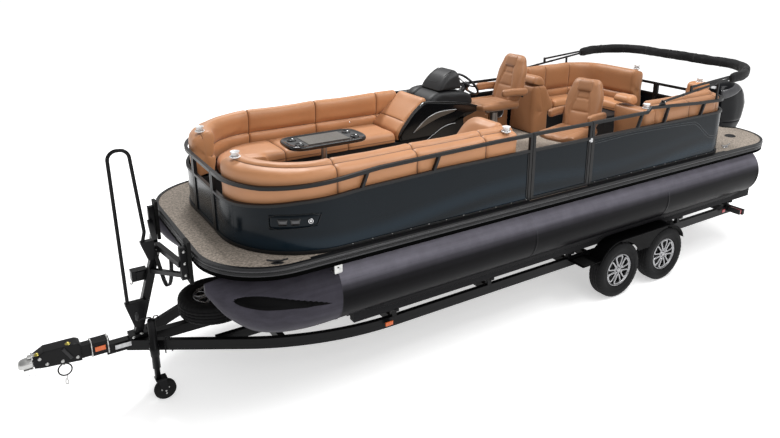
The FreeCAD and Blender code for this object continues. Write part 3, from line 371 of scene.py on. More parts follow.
M = {
    "tan": vinyl("tan_vinyl", TAN),
    # painted shade: the chair and aft lounge vinyls are darker copies of the tan vinyl, for the shade those
    # cushions sit in
    "tan_chair": vinyl("tan_vinyl_chair", TAN, 0.70),
    "tan_aft": vinyl("tan_vinyl_aft", TAN, 0.78),
    "tan_dark": vinyl("tan_vinyl_dark", TAN, 0.62),
    "tan_seam": vinyl("tan_seam", TAN, 0.42),
    "canvas": canvas_cloth(),
    "deck": deck_floor(),
    "fence": fence_paint(),
    "tube": tube_paint(),
    "wheel": alloy_wheel(),
    "rail": surface("rail_black", (0.0075, 0.0075, 0.008), 0.40, coat=0.05, edge=0.004, worn=0.25,
        grain=1500, spec=0.22),
    "trim": surface("deck_edge", (0.0065, 0.0065, 0.007), 0.36, coat=0.05, edge=0.004, worn=0.2,
        streak=(0.5, 40, 40), spec=0.22),
    "deck_edge": trim_paint(),
    # painted highlight: the rub rail grey is lighter than the trim, for the highlight along the rails
    "rub": surface("rub_rail", (0.026, 0.026, 0.028), 0.3, coat=0.1, streak=(0.5, 40, 40), spec=0.3),
    "mill": surface("mill_aluminium", (0.42, 0.42, 0.43), 0.42, 1.0, vary=0.2, streak=(2, 60, 60),
        edge=0.002),
    "chassis": surface("chassis_paint", (0.0035, 0.0035, 0.004), 0.36, coat=0.05, edge=0.004, worn=0.3,
        blotch=2.5, spec=0.12),
    "guard": surface("fender_paint", (0.0016, 0.0016, 0.0018), 0.44, edge=0.004, worn=0.3, blotch=2.5,
        spec=0.06),
    "bunk": surface("bunk_carpet", (0.010, 0.010, 0.011), 0.95, pores=(420, 0.6), sheen=0.1, spec=0.1,
        lift=0.0015, grain=420),
    "zinc": surface("zinc_plate", (0.5, 0.5, 0.49), 0.34, 1.0, vary=0.2, blotch=14, edge=0.0015),
    "steel": surface("polished_steel", (0.62, 0.62, 0.63), 0.16, 1.0, vary=0.08, edge=0.001),
    "satin": surface("satin_alloy", (0.5, 0.5, 0.51), 0.3, 1.0, streak=(60, 60, 1), edge=0.0015),
    "rubber": surface("moulded_rubber", (0.006, 0.006, 0.006), 0.7, spec=0.15, grain=600, lift=0.0004,
        blotch=6),
    "tyre": surface("tyre_rubber", (0.0065, 0.0065, 0.007), 0.7, spec=0.15, grain=500, lift=0.0004,
        blotch=5, vary=0.3),
    "gloss": surface("gloss_black", (0.0045, 0.0045, 0.005), 0.12, coat=0.45, vary=0.2, rough_swing=0.03,
        edge=0.012),
    "dash": surface("dash_plastic", (0.013, 0.013, 0.014), 0.5, spec=0.3, grain=450, lift=0.0007,
        edge=0.01, worn=0.08),
    "hood": surface("hood_plastic", (0.018, 0.018, 0.019), 0.48, spec=0.3, grain=450, lift=0.0006,
        edge=0.014, worn=0.06),
    "plastic": surface("black_plastic", scaled(BLACK, 0.6), 0.45, spec=0.35, grain=500, lift=0.0005,
        edge=0.003),
    "motor": surface("motor_gloss", (0.0028, 0.0031, 0.0042), 0.20, coat=0.10, spec=0.12, rough_swing=0.04,
        vary=0.2),
    "enamel": surface("motor_enamel", (0.010, 0.010, 0.011), 0.32, coat=0.1, edge=0.004, worn=0.15,
        spec=0.2),
    "bronze": surface("bronze_inlay", (0.23, 0.20, 0.17), 0.3, 0.8, streak=(3, 60, 60)),
    "inlay": surface("grey_inlay", (0.05, 0.05, 0.054), 0.4, streak=(70, 1, 1), coat=0.3),
    "webbing": surface("black_webbing", (0.012, 0.012, 0.012), 0.8, streak=(1, 1, 300), grain=700,
        lift=0.0006),
    "clear": surface("clear_plastic", (0.80, 0.80, 0.80), 0.12, coat=0.2, vary=0.04, rough_swing=0.04,
        spec=0.5),
    "amber": surface("amber_lens", (0.62, 0.11, 0.01), 0.22, coat=0.5, vary=0.1, rough_swing=0.05),
    "red": surface("red_lens", (0.36, 0.012, 0.02), 0.2, coat=0.6, vary=0.1, rough_swing=0.05),
    "table_slats": surface("table_slats", (0.115, 0.105, 0.092), 0.35, streak=(60, 1, 1), coat=0.2,
        vary=0.1),
    "panel_line": surface("panel_line", (0.040, 0.046, 0.052), 0.3, coat=0.2, vary=0.1),
    "lens": surface("lamp_lens", (0.016, 0.016, 0.019), 0.08, coat=0.8, vary=0.3, blotch=60,
        rough_swing=0.03),
    "label": surface("pale_label", (0.55, 0.55, 0.56), 0.5, vary=0.2, blotch=30, rough_swing=0.1, spec=0.3),
    "brass": surface("yellow_zinc", (0.50, 0.42, 0.10), 0.32, 0.9, vary=0.2, blotch=20, edge=0.001),
    "machined": surface("machined_alloy", (0.36, 0.36, 0.37), 0.26, 0.95, vary=0.1, streak=(90, 2, 90),
        edge=0.0015),
    "skirt": surface("charcoal_vinyl", (0.010, 0.010, 0.011), 0.5, spec=0.3, grain=500, lift=0.0006,
        edge=0.012),
}


# ---------------------------------------------------------------- floor
def make_floor():
    g = Graph("studio_floor")
    g.set(Base_Color=g.ramp(g.noise(0.4, 2.0), 0.90, 0.92), Roughness=0.9, Specular_IOR_Level=0.1,
        Emission_Color=(1.0, 1.0, 1.0, 1.0))
    apart = g.node("ShaderNodeVectorMath", {"operation": "LENGTH"}, i0=g.stretched((0.8, 1.25, 1.0)))
    glow = g.node("ShaderNodeMapRange", {"interpolation_type": "SMOOTHSTEP"}, Value=apart.outputs["Value"],
        From_Min=2.5, From_Max=8.0, To_Min=0.50, To_Max=0.62)
    g.set(Emission_Strength=glow.outputs["Result"], Normal=g.bump(g.noise(40.0), 0.05, 0.001))
    mesh = bpy.data.meshes.new("floor")
    reach = 600.0
    corners = [(-reach, -reach, 0), (reach, -reach, 0), (reach, reach, 0), (-reach, reach, 0)]
    mesh.from_pydata(corners, [], [(0, 1, 2, 3)])
    floor = bpy.data.objects.new("floor", mesh)
    scene.collection.objects.link(floor)
    floor.data.materials.append(g.material)


make_floor()


# ---------------------------------------------------------------- CAD pieces that show
FINISH = {
    "tube": ("pontoon_port", "pontoon_starboard"),
    "deck": ("deck_panel",),
    "deck_edge": ("deck_trim",),
    "trim": ("pontoon_brackets", "motor_pod"),
    "mill": ("deck_crossmembers",),
    "rail": ("fence_frames", "bimini_frame", "bimini_supports"),
    "fence": ("fence_panels",),
    "skirt": ("lounge_bases",),
    "gloss": ("console", "table_top"),
    "satin": ("table_leg", "chair_pedestals"),
    "hood": ("instrument_hood",),
    "plastic": ("steering_wheel",),
    "enamel": ("outboard_leg", "outboard_bracket", "outboard_swivel"),
    "steel": ("propeller",),
    "chassis": ("trailer_frame", "trailer_crossmembers", "winch_stand", "bow_stop", "coupler",
                "boarding_steps", "axles", "jack_column", "bunk_brackets"),
    "bunk": ("trailer_bunks",),
    "zinc": ("jack_caster",),
    "guard": ("fenders",),
    "rubber": ("bow_stop_pads", "jack_wheel"),
    "tan": tuple(n for n in nodes if n.startswith("lounge_") and n != "lounge_bases"),
    "canvas": ("bimini_boot",),
    "motor": ("outboard_cowl",),
}


def finish_node(name, *materials):
    slots = nodes[name].data.materials
    slots.clear()
    for material in materials:
        slots.append(M[material])


for key, names in FINISH.items():
    for name in names:
        finish_node(name, key)
for name in nodes:
    if name.endswith("_chair"):
        finish_node(name, "tan")
    if "_tyre_" in name:
        finish_node(name, "tyre")
    if "_rim_" in name:
        finish_node(name, "wheel")
finish_node("spare_wheel", "tyre")
GATE_BAR = 0.034              # width of a gate's frame bars
GATE_GAP = 0.2                # height of the open part below its top rail
for name in ("bow_gate", "side_gate", "stern_gate"):
    finish_node(name, "rail", "fence")
    low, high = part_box(name)
    for face in nodes[name].data.polygons:
        middle = face.center
        inside_x = low.x + GATE_BAR < middle.x < high.x - GATE_BAR
        inside_y = low.y + GATE_BAR < middle.y < high.y - GATE_BAR
        flat = (inside_x or inside_y) and low.z + GATE_BAR < middle.z < high.z - GATE_GAP
        face.material_index = 1 if flat else 0


# ---------------------------------------------------------------- mesh helpers
def add_piece(name, data, body):
    made = bpy.data.objects.new(name, data)
    scene.collection.objects.link(made)
    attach(made, body)
    return made


def add_mesh(name, verts, faces, material, body="boat", smooth=True, weld=True):
    """Piece from vertices and faces; material is a key of M, and weld merges the points that coincide."""
    mesh = bpy.data.meshes.new(name)
    mesh.from_pydata([tuple(v) for v in verts], [], faces)
    work = bmesh.new()
    work.from_mesh(mesh)
    if weld:
        bmesh.ops.remove_doubles(work, verts=work.verts, dist=1e-5)
    bmesh.ops.recalc_face_normals(work, faces=work.faces)
    work.to_mesh(mesh)
    work.free()
    for face in mesh.polygons:
        face.use_smooth = smooth
    mesh.materials.append(M[material])
    return add_piece(name, mesh, body)


def skin(rings, caps=True, around=True):
    """Vertices and faces between rings of points; caps close both ends with ever smaller rings."""
    count = len(rings[0])
    rings = [[Vector(p) for p in ring] for ring in rings]
    if caps:
        ends = []
        for ring in (rings[0], rings[-1]):
            centre = sum(ring, Vector()) / count
            ends.append([[centre.lerp(p, k) for p in ring] for k in (0.78, 0.5, 0.2)])
        rings = ends[0][::-1] + rings + ends[1]
    verts = [p for ring in rings for p in ring]
    faces = []
    for i in range(len(rings) - 1):
        for j in range(count if around else count - 1):
            k = (j + 1) % count
            faces.append((i * count + j, i * count + k, (i + 1) * count + k, (i + 1) * count + j))
    if caps:
        last = (len(rings) - 1) * count
        faces.append(tuple(range(count)))
        faces.append(tuple(range(last + count - 1, last - 1, -1)))
    return verts, faces


def shell(name, rings, material, body="boat", caps=True, around=True, smooth=True):
    """Piece whose surface runs from ring to ring."""
    verts, faces = skin(rings, caps, around)
    return add_mesh(name, verts, faces, material, body, smooth)


SEAM_HALF = 0.005             # half the width of a sewn seam's dark line


def closed_curve(points, pitch=0.018):
    """Smooth closed line through (a, b) points; a third value of 1 marks a crease. Gives (a, b, pinned)."""
    out = []
    count = len(points)
    for i in range(count):
        before, here, after, beyond = (points[(i + k) % count] for k in (-1, 0, 1, 2))
        p0, p1, p2, p3 = (Vector(p[:2]) for p in (before, here, after, beyond))
        run = p2 - p1
        leave = run * 0.8 if len(here) > 2 else (p2 - p0) * 0.5
        arrive = run * 0.8 if len(after) > 2 else (p3 - p1) * 0.5
        limit = run.length * 1.2
        for tangent in (leave, arrive):
            if tangent.length > limit:
                tangent *= limit / tangent.length
        steps = max(2, round(run.length / pitch))
        spots = [n / steps for n in range(steps)]
        edge = SEAM_HALF / run.length
        if len(here) > 2:
            spots.insert(1, edge)
        if len(after) > 2:
            spots.append(1 - edge)
        for n, t in enumerate(spots):
            a = 2 * t ** 3 - 3 * t ** 2 + 1
            b = t ** 3 - 2 * t ** 2 + t
            c = -2 * t ** 3 + 3 * t ** 2
            d = t ** 3 - t ** 2
            p = p1 * a + leave * b + p2 * c + arrive * d
            out.append((p.x, p.y, 1.0 if n == 0 and len(here) > 2 else 0.0))
    return out


def round_off(distance, radius):
    """How far a rounded end of that radius lies inside the full section at a distance from the end."""
    if distance >= radius:
        return 0.0
    gap = radius - distance
    return radius - math.sqrt(max(radius * radius - gap * gap, 0.0))


def stations(low, high, seams, pitch=0.03, end_round=0.03):
    """Places along a run, close together at the seams and the two ends, as (place, inset, pinned)."""
    places = {low, high}
    count = max(2, round((high - low) / pitch))
    seams = [s for s in seams if low + end_round < s < high - end_round]
    for n in range(1, count):
        s = low + (high - low) * n / count
        beside = any(abs(s - seam) <= 0.6 * pitch for seam in seams)
        if not beside and end_round < s - low < high - low - end_round:
            places.add(s)
    for share in (0.12, 0.35, 0.65, 1.0):
        places.add(low + end_round * share)
        places.add(high - end_round * share)
    for seam in seams:
        places.update((seam - 0.016, seam - SEAM_HALF, seam, seam + SEAM_HALF, seam + 0.016))
    out = []
    for s in sorted(places):
        inset = max(round_off(s - low, end_round), round_off(high - s, end_round))
        near = min([abs(s - seam) for seam in seams], default=1.0)
        groove = 0.016 if near < 0.001 else 0.011 if near < 0.006 else 0.001
        out.append((s, inset + groove, 1.0 if near < 0.001 else 0.0))
    return out


def inset_point(a, b, box, inset):
    """A profile point pulled towards the middle of its box; the bottom edge stays down."""
    a0, a1, b0, b1 = box
    middle = (a0 + a1) / 2
    k = max(0.05, 1 - 2 * inset / (a1 - a0))
    m = max(0.05, 1 - inset / (b1 - b0))
    return middle + (a - middle) * k, b0 + (b - b0) * m


def profile_box(profile):
    firsts = [p[0] for p in profile]
    seconds = [p[1] for p in profile]
    return min(firsts), max(firsts), min(seconds), max(seconds)


soft_pieces = []


def cushion(name, rows, material, body="boat", cap=0.012, pressure=4.0):
    """Closed cushion for the cloth simulation, from rows of (point, pin weight) pairs."""
    verts, faces = skin([[point for point, _ in row] for row in rows])
    piece = add_mesh(name, verts, faces, material, body, weld=False)
    closing = [0.0] * (3 * len(rows[0]))
    pins = closing + [weight for row in rows for _, weight in row] + closing
    piece.data.materials.append(M["tan_seam" if material.startswith("tan") else material])
    for face in piece.data.polygons:
        if sum(pins[v] == 1.0 for v in face.vertices) > 1:
            face.material_index = 1
    soft_pieces.append((piece, pins, cap, pressure))
    return piece


CLOTH = {
    "quality": 4, "mass": 0.4, "tension_stiffness": 12, "compression_stiffness": 12, "shear_stiffness": 4,
    "bending_stiffness": 0.6, "use_pressure": True, "vertex_group_mass": "held", "shrink_min": -0.012,
}
CLOTH_FRAMES = 20
BLEND_ROUNDS = 3              # times that each point's movement is averaged with its neighbours'


def simulate():
    """Blows the queued cushions up together, then keeps each point within its cap of where it began."""
    for piece, pins, cap, pressure in soft_pieces:
        held = piece.vertex_groups.new(name="held")
        for index, weight in enumerate(pins):
            if weight > 0:
                held.add([index], weight, "REPLACE")
        cloth = piece.modifiers.new("cloth", "CLOTH")
        for key, value in CLOTH.items():
            setattr(cloth.settings, key, value)
        cloth.settings.uniform_pressure_force = pressure
        cloth.settings.effector_weights.gravity = 0
        cloth.point_cache.frame_start = 1
        cloth.point_cache.frame_end = CLOTH_FRAMES
    for number in range(1, CLOTH_FRAMES + 1):
        scene.frame_set(number)
    graph = bpy.context.evaluated_depsgraph_get()
    for piece, pins, cap, pressure in soft_pieces:
        blown = piece.evaluated_get(graph).to_mesh()
        moved = [v.co.copy() for v in blown.vertices]
        piece.evaluated_get(graph).to_mesh_clear()
        piece.modifiers.clear()
        piece.vertex_groups.clear()
        steps = [place - vertex.co for vertex, place in zip(piece.data.vertices, moved)]
        linked = [[] for _ in steps]
        for edge in piece.data.edges:
            first, second = edge.vertices
            linked[first].append(second)
            linked[second].append(first)
        for _ in range(BLEND_ROUNDS):
            steps = [(step + sum((steps[n] for n in near), Vector())) / (1 + len(near))
                for step, near in zip(steps, linked)]
        for vertex, step, weight in zip(piece.data.vertices, steps, pins):
            if step.length > 1e-6:
                vertex.co += step.normalized() * (1 - weight) * cap * math.tanh(step.length / cap)
    scene.frame_set(1)
    for piece, pins, cap, pressure in soft_pieces:
        finer = piece.modifiers.new("smooth", "SUBSURF")
        finer.levels = 1
        finer.render_levels = 1


def tube(name, points, radius, material, body="boat", smooth=0, cyclic=False, sides=10):
    """Round bar along points, as a mesh. smooth is the number of steps that round each corner."""
    pts = [Vector(p) for p in points]
    for _ in range(smooth):
        cut = [pts[0]] if not cyclic else []
        pairs = list(zip(pts, pts[1:])) + ([(pts[-1], pts[0])] if cyclic else [])
        for a, b in pairs:
            cut += [a.lerp(b, 0.25), a.lerp(b, 0.75)]
        pts = cut + ([pts[-1]] if not cyclic else [])
    rings = []
    last_side = None
    count = len(pts)
    for i, p in enumerate(pts):
        ahead = pts[(i + 1) % count] if (cyclic or i < count - 1) else p
        behind = pts[i - 1] if (cyclic or i > 0) else p
        way = (ahead - behind).normalized()
        side = last_side or way.cross(Vector((0.13, 0.29, 0.95))).normalized()
        side = (side - way * side.dot(way)).normalized()
        last_side = side
        lift = way.cross(side)
        rings.append([p + (side * math.cos(a) + lift * math.sin(a)) * radius
            for a in (TAU * k / sides for k in range(sides))])
    if cyclic:
        rings.append(rings[0])
    verts, faces = skin(rings, caps=not cyclic)
    return add_mesh(name, verts, faces, material, body)


def lathe(name, profile, material, origin, axis=(0, 0, 1), body="boat", steps=40):
    """Solid of revolution: profile holds (radius, height along the axis) pairs."""
    turn = Vector((0, 0, 1)).rotation_difference(Vector(axis)).to_matrix()
    base = Vector(origin)
    rings = []
    for radius, height in profile:
        radius = max(radius, 1e-5)
        rings.append([base + turn @ Vector((radius * math.cos(a), radius * math.sin(a), height))
            for a in (TAU * k / steps for k in range(steps))])
    return shell(name, rings, material, body, caps=False)


def block(name, low, high, material, body="boat", bevel=0.003, turn=None):
    """Box with rounded edges between two corners; turn is a matrix applied about its middle."""
    low, high = (Vector(pick(a, b) for a, b in zip(low, high)) for pick in (min, max))
    middle = (low + high) / 2
    work = bmesh.new()
    bmesh.ops.create_cube(work, size=1.0)
    for vertex in work.verts:
        vertex.co = Vector(a * b for a, b in zip(vertex.co, high - low))
    if bevel:
        bmesh.ops.bevel(work, geom=work.edges[:], offset=bevel, segments=3, affect="EDGES", profile=0.5)
    for vertex in work.verts:
        vertex.co = middle + (turn @ vertex.co if turn else vertex.co)
    mesh = bpy.data.meshes.new(name)
    work.to_mesh(mesh)
    work.free()
    for face in mesh.polygons:
        face.use_smooth = len(face.vertices) < 4 or face.area < 4 * bevel * max(high - low)
    mesh.materials.append(M[material])
    return add_piece(name, mesh, body)


def join(pieces, name):
    """One piece from several on the same body."""
    with bpy.context.temp_override(active_object=pieces[0], selected_editable_objects=pieces):
        bpy.ops.object.join()
    pieces[0].name = name
    pieces[0].data.name = name
    return pieces[0]


# ---------------------------------------------------------------- lounges
FENCE_Y = 1.245               # outer face of the fence's sides, and of its ends
FENCE_BOW_X, FENCE_STERN_X = 3.400, -2.920
FENCE_BOW_R = 0.825           # radius of its bow corners
CLEAR = 0.044                 # from the fence's outer face to a backrest
BACK_DEPTH = 0.235            # a backrest's depth, and that of its shoulder
SHOULDER_DEPTH = 0.095
SEAT_LOW = 1.860              # underside of the seat cushions
EASE = 0.010                  # a cushion starts this far inside the space it swells to


class Rail:
    """Plan line beside the fence: along the port side, round a corner, then across the end."""

    def __init__(self, x_from, corner, radius, y_to, sign):
        self.cx, self.cy = corner
        self.radius = radius
        self.x_from = x_from
        self.y_to = y_to
        self.sign = sign
        self.side_y = self.cy + radius
        self.end_x = self.cx + self.sign * radius

    def at(self, part, share):
        if part == 0:
            return Vector((self.x_from + (self.cx - self.x_from) * share, self.side_y))
        if part == 1:
            angle = math.pi / 2 * (1 - self.sign * share)
            return Vector((self.cx + self.radius * math.cos(angle),
                self.cy + self.radius * math.sin(angle)))
        return Vector((self.end_x, self.cy + (self.y_to - self.cy) * share))

    def lengths(self):
        return (abs(self.cx - self.x_from), self.radius * math.pi / 2, abs(self.y_to - self.cy))


def split_place(place, lengths):
    """Turns a distance along the outer rail into its part and share of that part."""
    for part, length in enumerate(lengths):
        if place <= length + 1e-9 or part == 2:
            return part, (place / length if length else 0.0)
        place -= length


def sweep(name, rails, profile, seams, material, sign, end_round=0.035, crest_drop=None, pitch=0.038):
    """Cushion swept along rails. Profile points are (u, z) with u 0 at the first rail, 1 at the last."""
    lengths = rails[0].lengths()
    total = sum(lengths)
    box = profile_box(profile)
    width = (rails[0].at(0, 0.5) - rails[-1].at(0, 0.5)).length
    rows = []
    for place, inset, pinned in stations(0.0, total, seams, pitch, end_round):
        part, share = split_place(place, lengths)
        spots = [rail.at(part, share) for rail in rails]
        row = []
        for u, z, crease in profile:
            u, z = inset_point(u * width, z, (box[0] * width, box[1] * width, box[2], box[3]), inset)
            u /= width
            if len(spots) == 3:
                knee = SHOULDER_DEPTH / BACK_DEPTH
                if u < knee:
                    spot = spots[0].lerp(spots[1], u / knee)
                else:
                    spot = spots[1].lerp(spots[2], (u - knee) / (1 - knee))
            else:
                spot = spots[0].lerp(spots[1], u)
            if crest_drop:
                top = max(0.0, (z - 2.1) / 0.25)
                z -= crest_drop(spot.x) * min(top, 1.0)
            weight = max(pinned, crease, 0.99 if z < box[2] + 0.03 else 0.0)
            row.append((Vector((spot.x, sign * spot.y, z)), weight))
        rows.append(row)
    return cushion(name, rows, material)


def rails_for(insets, x_from, y_to, bow, radii=None):
    """Rails at several insets from the fence's outer face, round its bow or stern corner."""
    out = []
    for n, inset in enumerate(insets):
        fence_r = FENCE_BOW_R if bow else (radii[n] if radii else 0.300)
        cx = FENCE_BOW_X - fence_r if bow else FENCE_STERN_X + fence_r
        cy = FENCE_Y - fence_r
        out.append(Rail(x_from, (cx, cy), fence_r - inset, y_to, 1 if bow else -1))
    return out


def back_profile(shoulder, crest):
    """Backrest section: flat outside, a shoulder, a crease, a crest roll, lumbar crease and lower roll."""
    w = BACK_DEPTH
    e = EASE
    points = [(e, 1.872, 1), (e, 2.05), (e, shoulder - 0.075), (e + 0.006, shoulder - 0.030),
        (0.040, shoulder - 0.006), (0.075, shoulder + 0.004), (0.100, shoulder + 0.006, 1),
        (0.118, crest - 0.022), (0.150, crest - 0.008), (0.190, crest - 0.010), (w - 0.018, crest - 0.040),
        (w - e, crest - 0.095), (w - e - 0.004, 2.19), (w - e - 0.008, 2.11), (w - 0.040, 2.068, 1),
        (w - 0.014, 2.050), (w - e, 2.020), (w - 0.016, 1.975), (w - 0.030, 1.900, 1)]
    return [(a / w, b, c) for a, b, c in closed_curve(points, 0.022)]


def seat_profile(width):
    """Seat cushion section: nearly flat crown, rolled front edge, welted foot."""
    e = EASE / width
    roll = 0.045 / width
    points = [(e, SEAT_LOW + 0.004, 1), (e, 1.93), (e + roll * 0.4, 1.972), (0.3, 1.981), (0.65, 1.982),
        (1 - e - roll, 1.974), (1 - e - roll * 0.25, 1.955), (1 - e, 1.925), (1 - e, 1.895, 1),
        (1 - e * 1.3, SEAT_LOW + 0.012), (1 - e * 1.6, SEAT_LOW + 0.004, 1), (0.5, SEAT_LOW + 0.004, 1)]
    return [(a / width, b, c) for a, b, c in closed_curve([(p[0] * width, *p[1:]) for p in points], 0.028)]


def bow_drop(x):
    """The forward crest dips a little towards the bow."""
    return 0.022 * max(0.0, min(1.0, (x - 1.2) / 1.8))


BACK_INSETS = (CLEAR, CLEAR + SHOULDER_DEPTH, CLEAR + BACK_DEPTH)
back = back_profile(2.288, 2.342)
for sign, side, start, seam_places in ((1, "port", 0.590, (1.002, 1.794, 2.598)),
        (-1, "starboard", 0.660, (0.960, 1.770, 2.575))):
    sweep(side + "_forward_backrest", rails_for(BACK_INSETS, start, 0.385, True), back,
        [x - start for x in seam_places], "tan", sign, crest_drop=bow_drop)

seat = seat_profile(0.561)


class FarRail(Rail):
    """Inboard edge of a corner seat: it closes in to the corner's centre."""

    def __init__(self, base, y_in):
        self.__dict__.update(base.__dict__)
        self.y_in = y_in

    def at(self, part, share):
        near = 0.020
        if part == 0:
            return Vector((self.x_from + (self.cx - self.x_from) * share, self.y_in))
        if part == 1:
            angle = math.pi / 2 * (1 - self.sign * share)
            return Vector((self.cx + near * math.cos(angle), self.y_in + near * math.sin(angle) - near))
        return Vector((self.cx + self.sign * near,
            self.y_in - near + (self.y_to - self.y_in) * share * 0.5))


for sign, side in SIDES:
    outer = rails_for((CLEAR + BACK_DEPTH + 0.005,), 1.032, 0.390, True)[0]
    edge = FarRail(outer, 0.402)
    made = sweep(side + "_forward_seat", [outer, edge], seat, [0.62, 1.36], "tan", sign, end_round=0.03,
        pitch=0.048)
    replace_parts(made, "lounge_seat_" + side + "_forward")

# aft lounges
aft_star = rails_for(BACK_INSETS, -1.500, 0.090, False, (0.300, 0.600, 0.600))
sweep("starboard_aft_backrest", aft_star, back_profile(2.385, 2.430), [0.46, 1.10], "tan_aft", -1,
    end_round=0.05)
aft_port = rails_for(BACK_INSETS, -1.500, 0.720, False)
sweep("port_aft_backrest", aft_port, back_profile(2.288, 2.342), [0.62, 1.15], "tan_aft", 1)


class LevelRail:
    """Rail through four plan points, for the aft seats."""

    def __init__(self, points):
        self.points = [Vector(p) for p in points]

    def at(self, part, share):
        return self.points[part].lerp(self.points[part + 1], share)

    def lengths(self):
        return tuple((b - a).length for a, b in zip(self.points, self.points[1:]))


star_outer = LevelRail([(-1.752, 0.957), (-2.460, 0.957), (-2.632, 0.770), (-2.632, 0.135)])
star_inner = LevelRail([(-1.752, 0.674), (-2.330, 0.674), (-2.349, 0.655), (-2.349, 0.135)])
made = sweep("starboard_aft_seat", [star_outer, star_inner], seat_profile(0.40), [0.50, 1.10], "tan", -1,
    end_round=0.03)
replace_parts(made, "lounge_seat_starboard_aft")
port_outer = LevelRail([(-1.527, 0.957), (-1.9, 0.957), (-2.5, 0.957), (-2.632, 0.957)])
port_inner = LevelRail([(-1.527, 0.704), (-1.9, 0.704), (-2.5, 0.704), (-2.632, 0.704)])
made = sweep("port_aft_seat", [port_outer, port_inner], seat_profile(0.255), [0.44], "tan", 1,
    end_round=0.03)
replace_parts(made, "lounge_seat_port_aft")


def bolster(name, outline, y0, y1, shrink=None, cap=0.010, end_round=0.04, material="tan"):
    """Cushion with a side outline of (x, z) points, running across the boat from y0 to y1."""
    profile = closed_curve(outline, 0.023)
    box = profile_box(profile)
    rows = []
    for place, inset, pinned in stations(y0, y1, (), 0.035, end_round):
        row = []
        for x, z, crease in profile:
            x, z = inset_point(x, z, box, inset)
            if shrink:
                z = box[2] + (z - box[2]) * shrink(place)
            row.append((Vector((x, place, z)), max(pinned, crease)))
        rows.append(row)
    return cushion(name, rows, material, cap=cap)


# sloping backrest ahead of the helm, creased where it meets the seat
chaise = bolster("helm_chaise_backrest",
    [(0.572, 1.875, 1), (0.572, 2.20), (0.576, 2.315), (0.600, 2.336), (0.632, 2.328), (0.700, 2.262),
    (0.800, 2.180), (0.893, 2.098), (0.902, 2.086, 1), (0.922, 2.073), (0.975, 2.022), (1.008, 1.990),
    (1.012, 1.960), (1.004, 1.875, 1)], -1.005, -0.440, cap=0.010)
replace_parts(chaise, "lounge_back_starboard_forward")


def hump_top(y):
    """The port end backrest rises in a long curve from its inboard end."""
    t = max(0.0, min(1.0, (y - 0.410) / 0.30))
    return 0.52 + 0.48 * math.sqrt(1 - (1 - t) ** 2)


hump = bolster("port_end_backrest", [(0.604, 1.875, 1), (0.602, 2.15), (0.606, 2.270), (0.640, 2.345),
    (0.695, 2.360), (0.745, 2.325), (0.830, 2.200), (0.905, 2.098), (0.914, 2.084, 1), (0.934, 2.070),
    (0.985, 2.015), (1.010, 1.985), (1.012, 1.955), (1.004, 1.875, 1)], 0.410, 1.005, shrink=hump_top,
    cap=0.010, end_round=0.05)
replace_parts(hump, "lounge_back_port_forward")

# upright end of the starboard aft lounge, with its headrest roll
star_end = bolster("starboard_aft_end",
    [(-1.357, 1.560, 1), (-1.357, 1.90), (-1.357, 2.150), (-1.362, 2.205), (-1.385, 2.222),
    (-1.430, 2.228, 1), (-1.520, 2.224), (-1.575, 2.195), (-1.640, 2.110), (-1.705, 2.015), (-1.735, 1.960),
    (-1.735, 1.870), (-1.640, 1.862, 1), (-1.625, 1.560, 1)], -1.190, -0.683, cap=0.012, end_round=0.045,
    material="tan_aft")
roll = bolster("starboard_aft_headrest",
    [(-1.355, 2.245), (-1.362, 2.305), (-1.395, 2.345), (-1.450, 2.351), (-1.515, 2.325), (-1.562, 2.268),
    (-1.568, 2.232), (-1.450, 2.232, 1)], -1.010, -0.690, cap=0.008, end_round=0.05, material="tan_aft")
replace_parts(star_end, "lounge_back_starboard_aft")

# square end of the port aft lounge, with a roll on its inboard half
port_end = bolster("port_aft_end", [(-1.332, 1.560, 1), (-1.332, 1.90), (-1.332, 2.200), (-1.337, 2.243),
    (-1.360, 2.262), (-1.425, 2.266), (-1.490, 2.262), (-1.508, 2.243), (-1.510, 2.10), (-1.510, 1.870, 1),
    (-1.420, 1.560, 1)], 0.708, 1.188, cap=0.010, end_round=0.035, material="tan_aft")
bolster("port_aft_armrest", [(-1.332, 2.305), (-1.342, 2.355), (-1.375, 2.375), (-1.430, 2.379),
    (-1.480, 2.373), (-1.506, 2.345), (-1.510, 2.305), (-1.425, 2.272, 1)], 0.672, 0.925, cap=0.007,
    end_round=0.05)
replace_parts(port_end, "lounge_back_port_aft")
bolster("port_stern_headrest", [(-2.862, 2.345, 1), (-2.865, 2.372), (-2.840, 2.392), (-2.765, 2.396),
    (-2.690, 2.392), (-2.656, 2.370), (-2.652, 2.330), (-2.660, 2.230, 1), (-2.760, 2.300, 1)], 0.728,
    0.952, cap=0.006, end_round=0.045)


# ---------------------------------------------------------------- swivel chairs
def smooth_step(a, b, x):
    """Eased rise from 0 at a to 1 at b."""
    t = max(0.0, min(1.0, (x - a) / (b - a)))
    return t * t * (3 - 2 * t)


def groove(distance, width=0.009):
    """Depth of a soft groove, 1 at its middle."""
    return math.exp(-(distance / width) ** 2)


def closing(gap, reach):
    """Quarter-circle rise from 0 at an end to 1 where gap, the distance from it, passes reach."""
    return math.sqrt(max(0.0, 1 - (1 - min(1.0, gap / reach)) ** 2))


def super_ring(half_a, half_b, power, count):
    """Ellipse squared by power, as (a, b) pairs spread evenly along its outline."""
    fine = []
    for k in range(count * 8):
        angle = TAU * k / (count * 8)
        c, s = math.cos(angle), math.sin(angle)
        fine.append((half_a * math.copysign(abs(c) ** (2 / power), c),
            half_b * math.copysign(abs(s) ** (2 / power), s)))
    spans = [0.0]
    for p, q in zip(fine, fine[1:] + fine[:1]):
        spans.append(spans[-1] + math.hypot(q[0] - p[0], q[1] - p[1]))
    out = []
    index = 0
    for k in range(count):
        goal = spans[-1] * k / count
        while spans[index + 1] < goal:
            index += 1
        out.append(fine[index])
    return out


def spread(low, high, count):
    return [low + (high - low) * n / (count - 1) for n in range(count)]


